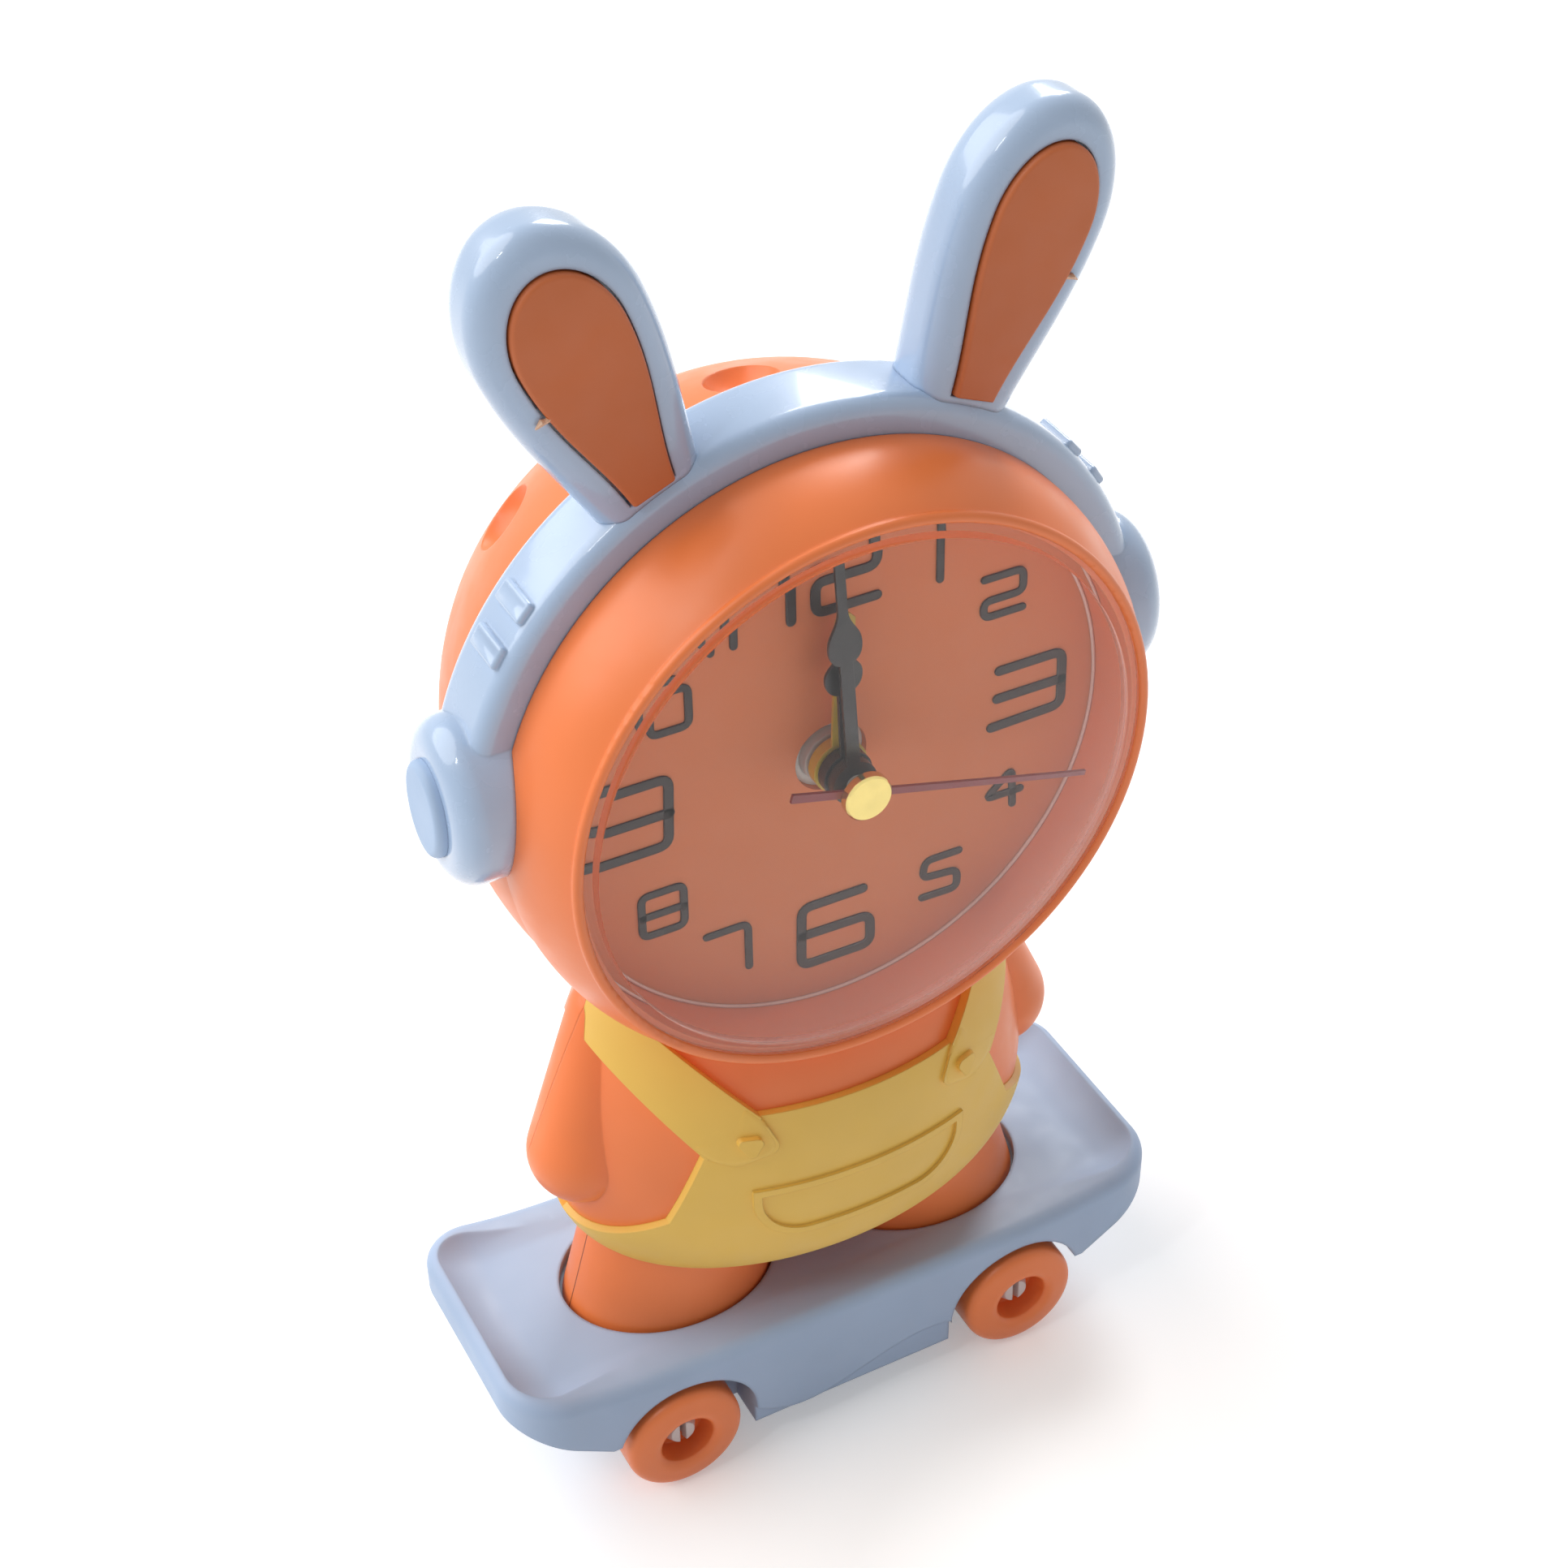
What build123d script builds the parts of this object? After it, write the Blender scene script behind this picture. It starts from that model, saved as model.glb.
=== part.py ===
from build123d import *
import math
import os

# A bedside alarm clock shaped as a long-eared figure with a headset, standing on a skateboard
# Millimetres. X to the right, Y to the back, Z up; the dial faces -Y and the wheels stand on z = 0

# Fits shared by every piece
RUN_FIT = 0.05
SEAT = 0.02
FREE_GAP = 0.35
EPS = 0.01
ROOMY = 200.0

# Wheels and axles
WHEEL_R = 8.3
WHEEL_W = 7.0
WHEEL_X = 25.9
WHEEL_FACE_Y = 19.6
TREAD_ROUND = 2.0
HUB_R = 3.8
HUB_DEPTH = 3.8
HUB_CHAMFER = 0.5
AXLE_R = 2.0
BARB_RISE = 0.6
BARB_LEN = 1.6
SLIT_W = 0.9
SLIT_DEPTH = 3.0

# Skateboard hull
DECK_LEN = 97.8
DECK_W = 37.0
DECK_CORNER_R = 7.6
DECK_TOP = 21.4
DISH_DEPTH = 0.3
KICK_RISE = 4.1
KICK_START_X = 22.0
KICK_SLOPE = 0.45
RIM_W = 0.6
RIM_ROUND = 2.0
DISH_ROUND = 6.9
TOP_FACING = 0.7
TAIL_WALL = 6.2
BELLY_X = 36.2
BELLY_Z = 11.3
CHASSIS_X = 34.6
SKIRT_X = 15.1
SKIRT_BOTTOM = 4.3
ARCH_GAP = 1.3
WELL_WALL = 1.8
DECK_WALL = 2.0
DECK_PLATE = 4.0
WAVE_DEPTH = 0.7
WAVE = [(-1.0, 3.3), (-0.36, 0.9), (0.3, 3.8), (1.0, 4.4)]
COVER_T = 1.5
POST_R = 2.6
POST_HOLE_R = 0.9
POST_X = 9.0
POST_Y = 11.0

# Figure: body sections as (height, half width, half depth)
BODY_SECTIONS = [
    (28.0, 18.0, 8.5),
    (33.0, 28.8, 16.8),
    (40.0, 32.8, 19.3),
    (50.0, 33.0, 19.8),
    (58.0, 31.2, 19.6),
    (66.0, 28.8, 17.8),
    (75.0, 26.0, 14.6),
]
BODY_WALL = 2.0
LEG_X = 19.1
LEG_FOOT = (14.8, 11.6)
LEG_KNEE = (13.3, 11.0)
LEG_TOP = (12.2, 10.6)
LEG_KNEE_Z = 29.0
LEG_TOP_Z = 38.0
LEG_TOP_X = 16.6
SOCKET_DEPTH = 2.0
ARM_TOP = (25.2, 1.5, 69.0)
ARM_HAND = (30.5, -1.0, 49.6)
ARM_TOP_R = 4.6
ARM_HAND_R = 7.1
NECK_R = 8.0
NECK_Y = 4.0
NECK_WALL = 2.2
NECK_TOP = 75.0
NECK_RING_R = 11.4
NECK_RING_T = 1.8

# Overalls
CLOTH_T = 1.0
STRAP_T = 1.5
POCKET_T = 1.45
BUTTON_T = 2.3
BIB_TOP = 61.9
BIB_TOP_X = 13.5
BIB_ARM_X = 20.4
BIB_ARM_Z = 56.2
BIB_HIP_X = 24.8
BIB_HIP_Z = 44.9
WAIST_Z = 38.8
HEM_Z = 31.0
STRAP_IN = (26.2, 75.5)
STRAP_OUT = (31.7, 71.5)
STRAP_SEAM = (29.5, 68.5)
STRAP_FOOT_OUT = (17.0, 54.9)
STRAP_FOOT_IN = (11.3, 56.7)
STRAP_FOOT_ROUND = 1.3
BUTTON_X = 15.4
BUTTON_Z = 58.4
BUTTON_R = 2.3
BUTTON_ROUND = 0.7
POCKET_W = 30.4
POCKET_TOP = 50.0
POCKET_DROP = 9.5
POCKET_ROUND = 7.5
POCKET_LINE = 1.1
BACK_STRAP_W = 8.0
BACK_STRAP_X = 11.0

# Head
HEAD_Z = 108.4
HEAD_R = 40.8
HEAD_WALL = 2.0
SEAM_Y = -8.75
REAR_Y = 23.5
REAR_ROUND = 4.0
BEZEL_REAR_R = 40.3
BEZEL_MID = (39.6, -15.2)
LIP_R = 37.2
LIP_Y = -21.6
LIP_ROLL = 1.0
LIP_CREST = 0.3
LIP_SINK = 0.4
LENS_R = 36.0
LENS_T = 1.8
LENS_SEAT_Y = -19.4
LENS_TOP_Y = -27.5
WINDOW_R = 35.2
DIAL_Y = -11.5
DIAL_R = 37.0
DIAL_T = 1.0
DIAL_HOLE_R = 4.6
DIMPLE_R = 4.6
DIMPLE_DEPTH = 3.0
DIMPLES = [(0.0, 9.6), (47.0, 17.0), (-47.0, 17.0)]

# Headset band, ear cups and ears
BAND_FRONT = -8.6
BAND_REAR = 2.2
BAND_R = 44.6
BAND_ROUND = 2.0
BAND_END_Z = 111.0
CUP_Y = -3.4
CUP_Z = 112.9
CUP_HALF_Y = 9.1
CUP_HALF_Z = 10.6
CUP_X = 46.2
CUP_ROOT_X = 28.5
CUP_ROUND = 3.6
CAP_HALF_Y = 4.7
CAP_HALF_Z = 6.2
CAP_Z = 112.9
CAP_RISE = 1.3
CAP_SINK = 1.0
CAP_ROUND = 0.9
BAR_ANGLES = (50.2, 57.6)
BAR_W = 2.8
BAR_RISE = 0.8
BAR_FRONT = -7.0
BAR_LEN = 6.2
BAR_ROUND = 0.45
EAR_X = 19.6
EAR_Z = 148.95
EAR_TILT = 22.5
EAR_DEPTH = 10.0
EAR_W = 19.8
EAR_BASE_W = 12.4
EAR_BULGE = 21.0
EAR_CROWN = 13.6
EAR_FLARE = 0.12
EAR_ROOT = 4.0
EAR_FRONT_ROUND = 3.0
EAR_REAR_ROUND = 4.8
EAR_FRONT_INSET = 0.5
INSERT_W = 12.6
INSERT_BASE_W = 5.4
INSERT_CROWN = 9.0
INSERT_T = 2.1
INSERT_RECESS = 1.3
INSERT_GAP = 0.25
INSERT_ROUND = 0.5
EAR_POCKET_INSET = 2.4
EAR_POCKET = 7.0

# Motion works: axes seen from the front, relative to the hand axis
MODULE = 0.5
ADDENDUM = 0.8
DEDENDUM = 1.15
TIP_SHARE = 0.10
ROOT_SHARE = 0.30
GEAR_T = 1.0
MINUTE_TEETH = 10
MOTION_TEETH = 30
MOTION_PINION_TEETH = 8
HOUR_TEETH = 32
TIME_TEETH = 12
ALARM_TEETH = 20
KNOB_X = 10.5
KNOB_DZ = 16.8
SECOND_R = 0.5
PIPE_WALL = 0.55
BUSH_WALL = 1.2
STUD_R = 0.8
ARBOR_R = 1.4
PLATE_T = 1.2
LAYER_GAP = 0.45
CASE_HALF_W = 20.0
CASE_TOP = 24.5
CASE_CORNER_R = 4.0
CASE_WALL = 1.2
CASE_REAR_Y = 5.0
UNIT_W = 28.0
UNIT_H = 28.0
UNIT_DZ = -3.5
UNIT_ROOM = 1.3

# Hands
HAND_T = 0.4
ALARM_HAND_Y = -13.3
HOUR_HAND_Y = -15.0
MINUTE_HAND_Y = -16.6
SECOND_HAND_Y = -18.6
ALARM_HAND_LEN = 21.0
ALARM_HAND_W = 2.4
ALARM_HAND_TAPER = 0.8
ALARM_ANGLE = 2.0
HOUR_HAND_LEN = 19.5
HOUR_STEM_W = 1.6
HOUR_TIP_W = 1.0
HOUR_LEAF = (11.6, 14.0, 17.6)
HOUR_LEAF_W = 4.7
HOUR_ANGLE = -2.2
MINUTE_HAND_LEN = 31.0
MINUTE_STEM_W = 1.65
MINUTE_TIP_W = 1.2
MINUTE_LEAF = (17.0, 19.4, 24.2)
MINUTE_LEAF_W = 4.2
MINUTE_ANGLE = -3.7
LEAF_SHOULDER = 0.35
HUB_T = 1.0
ALARM_HUB_R = 3.4
HOUR_HUB_R = 3.1
MINUTE_HUB_R = 2.8
SECOND_TIP = 31.0
SECOND_TAIL = 9.5
SECOND_W = 1.1
SECOND_TIP_W = 0.6
SECOND_ANGLE = 105.4
SECOND_HUB_R = 1.5
CAP_DISC_R = 3.0
CAP_DISC_T = 1.2
CAP_DISC_EDGE = 0.25

# Rear controls, battery and sounder
KNOB_R = 5.2
KNOB_T = 3.65
KNOB_FLUTES = 10
FLUTE_R = 0.8
STEM_GAP = 0.5
CELL_R = 7.15
CELL_LEN = 49.2
CELL_NUB_R = 2.75
CELL_NUB_LEN = 1.3
CELL_Y = 14.3
BAY_END = 3.0
BAY_GAP = 0.25
BAY_WALL = 1.2
BAY_HALF_H = 8.3
MOUTH_INSET_W = 1.65
MOUTH_INSET_H = 0.8
DOOR_LEDGE = 1.4
DOOR_T = 1.4
DOOR_PROUD = 0.3
RIB_COUNT = 4
RIB_PITCH = 2.4
RIB_W = 1.0
CONTACT_T = 0.5
SPRING_WIRE_R = 0.6
SPRING_R = 3.6
SPRING_TURNS = 3
SWITCH_X = -10.0
SWITCH_DZ = -16.6
SWITCH_SLOT = 11.0
SWITCH_SLOT_H = 3.6
SWITCH_TAB = 4.4
SWITCH_TAB_OUT = 2.2
SWITCH_PLATE_W = 7.7
SWITCH_PLATE_H = 6.6
SWITCH_PLATE_T = 1.0
BUZZER_X = 12.5
BUZZER_DZ = -16.6
BUZZER_R = 7.0
BUZZER_T = 1.6
BUZZER_RING_W = 1.2
SOUND_HOLE_R = 0.9
SOUND_RING_R = 3.6
SOUND_HOLES = 6

# Values worked out from the driving dimensions
AXLE_Z = WHEEL_R
WHEEL_BACK_Y = WHEEL_FACE_Y - WHEEL_W
WELL_Y = WHEEL_BACK_Y - FREE_GAP
BORE_END_Y = WHEEL_FACE_Y - HUB_DEPTH
DISH_FLOOR = DECK_TOP - DISH_DEPTH
KICK_TOP = DECK_TOP + KICK_RISE
SOCKET_FLOOR = DISH_FLOOR - SOCKET_DEPTH
CAVITY_TOP = DECK_TOP - DECK_PLATE
LENS_EDGE_Y = LIP_Y + LIP_SINK
DIAL_BACK_Y = DIAL_Y + DIAL_T
PLATE_FRONT_Y = DIAL_BACK_Y + SEAT
PLATE_BACK_Y = PLATE_FRONT_Y + PLATE_T
ALARM_LAYER = PLATE_BACK_Y + LAYER_GAP
HOUR_LAYER = ALARM_LAYER + GEAR_T + LAYER_GAP
MINUTE_LAYER = HOUR_LAYER + GEAR_T + LAYER_GAP
UNIT_FRONT_Y = MINUTE_LAYER + GEAR_T + 2 * LAYER_GAP
CASE_INNER_Y = CASE_REAR_Y - CASE_WALL
CASE_BOTTOM = UNIT_DZ - UNIT_H / 2 - UNIT_ROOM - CASE_WALL
MINUTE_PIPE_R = SECOND_R + RUN_FIT + PIPE_WALL
HOUR_PIPE_R = MINUTE_PIPE_R + RUN_FIT + PIPE_WALL
ALARM_PIPE_R = HOUR_PIPE_R + RUN_FIT + PIPE_WALL
BUSH_R = ALARM_PIPE_R + RUN_FIT + BUSH_WALL
KNOB_FACE_Y = REAR_Y + FREE_GAP
REAR_INNER_Y = REAR_Y - HEAD_WALL
BAY_FLOOR_Y = CELL_Y - CELL_R - BAY_GAP
BAY_HALF_W = CELL_LEN / 2 + CELL_NUB_LEN / 2 + BAY_END
MOUTH_HALF_W = BAY_HALF_W - MOUTH_INSET_W
MOUTH_HALF_H = BAY_HALF_H - MOUTH_INSET_H
DOOR_HALF_W = MOUTH_HALF_W + DOOR_LEDGE
DOOR_HALF_H = MOUTH_HALF_H + DOOR_LEDGE
DOOR_INNER_Y = REAR_Y - DOOR_T
SECOND_ARBOR_Y = SECOND_HAND_Y - HAND_T - HUB_T / 2


def along_y(shape, x, z, back_y):
    """Stand a shape drawn in the XY plane on the hand axis, its height running to the front."""
    return Pos(x, back_y, z) * Rot(90, 0, 0) * shape


def on_head(shape):
    """Move a shape made round the Y axis to the height of the head."""
    return Pos(0, 0, HEAD_Z) * shape


def mirrored(shape):
    return mirror(shape, Plane.YZ)


def closed_face(*lines):
    return make_face([edge for line in lines for edge in line.edges()])


def ring_face(outer, inner):
    return Circle(outer) - Circle(inner)


def front_prism(face, depth=ROOMY):
    """Extrude a front view outline, drawn as (x, height), towards the front."""
    return extrude(Plane.XZ * face, amount=depth)


def rear_prism(face, depth=ROOMY):
    return extrude(Plane.XZ * face, amount=-depth)


# Skateboard hull

def hull_profile():
    """Side view of the board: kicked-up ends, raised belly and the low chassis between the wheels."""
    end_x = DECK_LEN / 2
    kick = (1.0, KICK_SLOPE)
    right = Spline((KICK_START_X, DECK_TOP), (end_x, KICK_TOP), tangents=((1, 0), kick))
    left = Spline((-end_x, KICK_TOP), (-KICK_START_X, DECK_TOP), tangents=((1, -KICK_SLOPE), (1, 0)))
    top = Line((-KICK_START_X, DECK_TOP), (KICK_START_X, DECK_TOP))
    tail = KICK_TOP - TAIL_WALL
    under = Polyline(
        (end_x, KICK_TOP),
        (end_x, tail),
        (BELLY_X, BELLY_Z),
        (CHASSIS_X, BELLY_Z),
        (CHASSIS_X, SKIRT_BOTTOM),
        (-CHASSIS_X, SKIRT_BOTTOM),
        (-CHASSIS_X, BELLY_Z),
        (-BELLY_X, BELLY_Z),
        (-end_x, tail),
        (-end_x, KICK_TOP),
    )
    return closed_face(left, top, right, under)


def top_rim(hull):
    """Edges round the top of the board, without the joins that lie inside the top."""
    tops = hull.faces().filter_by(lambda face: face.normal_at().Z > TOP_FACING)
    edges = [edge for face in tops for edge in face.edges()]
    return [e for e in edges if sum((other.center() - e.center()).length < EPS for other in edges) == 1]


def leg_socket(side):
    rx, ry = LEG_FOOT
    outline = Ellipse(rx + FREE_GAP, ry + FREE_GAP)
    return Pos(side * LEG_X, 0, SOCKET_FLOOR) * extrude(outline, amount=DECK_TOP)


def wheel_well(x_side, y_side):
    """Arch over one wheel, drawn out to the skirt, open below and to the side of the board."""
    depth = DECK_W / 2 - WELL_Y + 1
    arch_r = WHEEL_R + ARCH_GAP
    middle_y = y_side * (WELL_Y + depth / 2)
    skirt_side = Align.MAX if x_side > 0 else Align.MIN
    toward_skirt = Rectangle(2 * WHEEL_X, 2 * WHEEL_X, align=(skirt_side, Align.CENTER))
    arch_face = Circle(arch_r) + (Ellipse(WHEEL_X - SKIRT_X, arch_r) & toward_skirt)
    arch = extrude(Plane.XZ * arch_face, amount=depth / 2, both=True)
    arch = Pos(x_side * WHEEL_X, middle_y, AXLE_Z) * arch
    run = BELLY_X + 1 - SKIRT_X
    open_box = Box(run, depth, AXLE_Z + 1, align=(Align.MIN, Align.CENTER, Align.MAX))
    if x_side > 0:
        mouth = Pos(SKIRT_X, middle_y, AXLE_Z) * open_box
    else:
        mouth = Pos(-SKIRT_X - run, middle_y, AXLE_Z) * open_box
    return arch + mouth


def skirt_wave(y_side):
    """Shallow step along the skirt whose edge dips near one end and swings up to the other."""
    points = [(SKIRT_X * share, SKIRT_BOTTOM + rise) for share, rise in WAVE]
    below = SKIRT_BOTTOM - 1
    frame = Polyline(points[-1], (SKIRT_X, below), (-SKIRT_X, below), points[0])
    slab = extrude(Plane.XZ * closed_face(Spline(*points), frame), amount=WAVE_DEPTH)
    if y_side < 0:
        return Pos(0, -DECK_W / 2 + WAVE_DEPTH, 0) * slab
    return Pos(0, DECK_W / 2, 0) * slab


def cavity_outline(clearance):
    """Plan of the hollow under the deck, narrow past the wheels and wide between them."""
    narrow = Rectangle(2 * (CHASSIS_X - DECK_WALL - clearance), 2 * (WELL_Y - WELL_WALL - clearance))
    wide_y = DECK_W / 2 - DECK_WALL - WAVE_DEPTH - clearance
    return narrow + Rectangle(2 * (SKIRT_X - DECK_WALL - clearance), 2 * wide_y)


def post_places():
    return [(sx * POST_X, sy * POST_Y) for sx in (-1, 1) for sy in (-1, 1)]


def make_deck():
    plan = RectangleRounded(DECK_LEN, DECK_W, DECK_CORNER_R)
    hull = extrude(Plane.XZ * hull_profile(), amount=DECK_W / 2, both=True)
    hull = hull & extrude(plan, amount=KICK_TOP + 1)
    hull = fillet(top_rim(hull), RIM_ROUND)
    dish_plan = RectangleRounded(DECK_LEN - 2 * RIM_W, DECK_W - 2 * RIM_W, DECK_CORNER_R - RIM_W)
    dish = Pos(0, 0, DISH_FLOOR) * extrude(dish_plan, amount=3 * KICK_RISE)
    dish = fillet(dish.faces().sort_by(Axis.Z)[0].edges(), DISH_ROUND)
    deck = hull - dish
    for sx in (-1, 1):
        deck -= leg_socket(sx)
        for sy in (-1, 1):
            deck -= wheel_well(sx, sy)
    for sy in (-1, 1):
        deck -= skirt_wave(sy)
    depth = CAVITY_TOP - SKIRT_BOTTOM
    cavity = Pos(0, 0, SKIRT_BOTTOM) * extrude(cavity_outline(0), amount=depth)
    upright = (Align.CENTER, Align.CENTER, Align.MIN)
    for x, y in post_places():
        cavity -= Pos(x, y, SKIRT_BOTTOM + COVER_T + SEAT) * Cylinder(POST_R, depth, align=upright)
        cavity += Pos(x, y, SKIRT_BOTTOM) * Cylinder(POST_HOLE_R, depth, align=upright)
    deck -= cavity
    for sx in (-1, 1):
        deck -= Pos(sx * WHEEL_X, 0, AXLE_Z) * Rot(90, 0, 0) * Cylinder(AXLE_R, DECK_W)
    return deck


def make_base_cover():
    plate = Pos(0, 0, SKIRT_BOTTOM) * extrude(cavity_outline(SEAT), amount=COVER_T)
    for x, y in post_places():
        plate -= Pos(x, y, SKIRT_BOTTOM) * Cylinder(POST_HOLE_R, 3 * COVER_T)
    return plate


def make_axle(side):
    """Moulded axle with split, barbed ends that snap through the two wheels."""
    barb_start = BORE_END_Y + FREE_GAP
    barb_r = AXLE_R + BARB_RISE
    half = Polyline(
        (0, 0),
        (AXLE_R, 0),
        (AXLE_R, barb_start),
        (barb_r, barb_start),
        (AXLE_R - BARB_RISE / 2, barb_start + BARB_LEN),
        (0, barb_start + BARB_LEN),
        (0, 0),
    )
    solid = revolve(make_face(half), Axis.Y)
    slit = Box(SLIT_W, 2 * SLIT_DEPTH, 4 * AXLE_R)
    solid -= Pos(0, barb_start + BARB_LEN, 0) * slit
    solid += mirror(solid, Plane.XZ)
    return Pos(side * WHEEL_X, 0, AXLE_Z) * solid


def make_wheel(x_side, y_side):
    """Round-shouldered wheel with a deep hub recess round the axle barb."""
    bore_r = AXLE_R + RUN_FIT
    middle_r = (WHEEL_R + HUB_R) / 2
    shoulder = TREAD_ROUND
    outline = Polyline(
        (bore_r, WHEEL_BACK_Y),
        (WHEEL_R - shoulder / 2, WHEEL_BACK_Y),
        (WHEEL_R, WHEEL_BACK_Y + shoulder / 2),
        (WHEEL_R, WHEEL_FACE_Y - shoulder),
    )
    crown = Spline(
        (WHEEL_R, WHEEL_FACE_Y - shoulder),
        (middle_r, WHEEL_FACE_Y),
        (HUB_R, WHEEL_FACE_Y - HUB_CHAMFER),
        tangents=((0, 1), (-0.6, -1)),
    )
    hub = Polyline(
        (HUB_R, WHEEL_FACE_Y - HUB_CHAMFER),
        (HUB_R, BORE_END_Y),
        (bore_r, BORE_END_Y),
        (bore_r, WHEEL_BACK_Y),
    )
    wheel = revolve(closed_face(outline, crown, hub), Axis.Y)
    if y_side < 0:
        wheel = mirror(wheel, Plane.XZ)
    return Pos(x_side * WHEEL_X, 0, AXLE_Z) * wheel


# Figure

def body_form(offset):
    """Smooth pear form of the body, grown or shrunk by an offset."""
    return loft([Pos(0, 0, z) * Ellipse(a + offset, b + offset) for z, a, b in BODY_SECTIONS])


def leg_form(side):
    sections = [
        Pos(side * LEG_X, 0, SOCKET_FLOOR + SEAT) * Ellipse(*LEG_FOOT),
        Pos(side * (LEG_X + LEG_TOP_X) / 2, 0, LEG_KNEE_Z) * Ellipse(*LEG_KNEE),
        Pos(side * LEG_TOP_X, 0, LEG_TOP_Z) * Ellipse(*LEG_TOP),
    ]
    return loft(sections)


def arm_form(side):
    """Drop-shaped arm that swells from the shoulder to the round hand."""
    start = Vector(side * ARM_TOP[0], ARM_TOP[1], ARM_TOP[2])
    end = Vector(side * ARM_HAND[0], ARM_HAND[1], ARM_HAND[2])
    axis = end - start
    length = axis.length
    lean = math.asin((ARM_HAND_R - ARM_TOP_R) / length)
    c, s = math.cos(lean), math.sin(lean)
    top_in = (ARM_TOP_R * c, -ARM_TOP_R * s)
    hand_in = (ARM_HAND_R * c, length - ARM_HAND_R * s)
    mid = math.radians(45) - lean / 2
    cap_mid = (ARM_TOP_R * math.cos(mid), -ARM_TOP_R * math.sin(mid))
    tip_mid = (ARM_HAND_R * math.cos(mid), length + ARM_HAND_R * math.sin(mid))
    outline = [
        ThreePointArc((0, -ARM_TOP_R), cap_mid, top_in),
        Line(top_in, hand_in),
        ThreePointArc(hand_in, tip_mid, (0, length + ARM_HAND_R)),
        Line((0, length + ARM_HAND_R), (0, -ARM_TOP_R)),
    ]
    drop = revolve(closed_face(*outline), Axis.Y)
    across = axis.cross(Vector(0, 1, 0))
    place = Plane(origin=start, x_dir=axis.cross(across), z_dir=across)
    return place * drop


def figure_form():
    form = body_form(0)
    for side in (-1, 1):
        form += leg_form(side)
        form += arm_form(side)
    return form - head_envelope()


def half_space(front):
    """Large block on one side of the parting plane y = 0."""
    align_y = Align.MAX if front else Align.MIN
    return Box(ROOMY, ROOMY, 2 * ROOMY, align=(Align.CENTER, align_y, Align.CENTER))


def above(z):
    """Large block above a height."""
    return Pos(0, 0, z) * Box(ROOMY, ROOMY, ROOMY, align=(Align.CENTER, Align.CENTER, Align.MIN))


def rear_straps():
    """Straps down the back, raised from the rear half and run down to the waist."""
    strap = make_face(Polyline(
        STRAP_IN,
        STRAP_OUT,
        STRAP_SEAM,
        (BACK_STRAP_X + BACK_STRAP_W / 2, WAIST_Z + SEAT),
        (BACK_STRAP_X - BACK_STRAP_W / 2, WAIST_Z + SEAT),
        close=True,
    ))
    return (body_form(STRAP_T) & rear_prism(both_sides(strap))) - head_envelope()


def make_body(figure):
    """Front and rear body shells with the neck spigot, parted at y = 0."""
    core = body_form(-BODY_WALL) - on_head(Sphere(HEAD_R + BODY_WALL))
    floor_z = BODY_SECTIONS[1][0]
    core &= above(floor_z)
    shell = (figure + rear_straps()) - core
    low = HEAD_Z - HEAD_R - BODY_WALL
    tube = extrude(ring_face(NECK_R, NECK_R - NECK_WALL), amount=NECK_TOP - low)
    shell += Pos(0, NECK_Y, low) * tube
    bore = extrude(Circle(NECK_R - NECK_WALL), amount=NECK_TOP)
    shell -= Pos(0, NECK_Y, low - BODY_WALL) * bore
    return shell & half_space(True), shell & half_space(False)


def make_neck_ring():
    inner_r = HEAD_R - HEAD_WALL
    z = HEAD_Z - math.sqrt(inner_r ** 2 - (NECK_RING_R + NECK_Y) ** 2) + SEAT
    return Pos(0, NECK_Y, z) * extrude(ring_face(NECK_RING_R, NECK_R + SEAT), amount=NECK_RING_T)


def mirrored_outline(points):
    """Closed face from the right half of a symmetric outline, listed from the centre line round."""
    other = [(-x, z) for x, z in reversed(points) if x > 0]
    return make_face(Polyline(*points, *other, close=True))


def bib_outline():
    """Front view of the trousers and bib, without the straps."""
    return mirrored_outline([
        (0, BIB_TOP),
        (BIB_TOP_X, BIB_TOP),
        (BIB_ARM_X, BIB_ARM_Z),
        (BIB_HIP_X, BIB_HIP_Z),
        (BODY_SECTIONS[3][1] + CLOTH_T, WAIST_Z),
        (BODY_SECTIONS[3][1] + 2 * CLOTH_T, HEM_Z),
        (0, HEM_Z),
    ])


def strap_outline():
    """One shoulder strap with its rounded lower end."""
    bib_corner = (BIB_TOP_X, BIB_TOP)
    arm_corner = (BIB_ARM_X, BIB_ARM_Z)
    strap = make_face(Polyline(bib_corner, STRAP_IN, STRAP_OUT, STRAP_SEAM, arm_corner, close=True))
    foot = make_face(Polyline(bib_corner, arm_corner, STRAP_FOOT_OUT, STRAP_FOOT_IN, close=True))
    return strap + fillet(foot.vertices(), STRAP_FOOT_ROUND)


def button_outline():
    shape = Pos(BUTTON_X, BUTTON_Z) * RegularPolygon(BUTTON_R, 3, rotation=30)
    return fillet(shape.vertices(), BUTTON_ROUND)


def pocket_outline():
    """Raised line round the pocket, round at its two lower corners."""
    outer = Rectangle(POCKET_W, POCKET_DROP, align=(Align.CENTER, Align.MAX))
    low = outer.vertices().sort_by(Axis.Y)[:2]
    outer = fillet(low, POCKET_ROUND)
    inner = Pos(0, -POCKET_LINE) * Rectangle(
        POCKET_W - 2 * POCKET_LINE, POCKET_DROP - 2 * POCKET_LINE, align=(Align.CENTER, Align.MAX)
    )
    inner = fillet(inner.vertices().sort_by(Axis.Y)[:2], POCKET_ROUND - POCKET_LINE)
    return Pos(0, POCKET_TOP) * (outer - inner)


def both_sides(face):
    return face + mirror(face, Plane.YZ)


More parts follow.
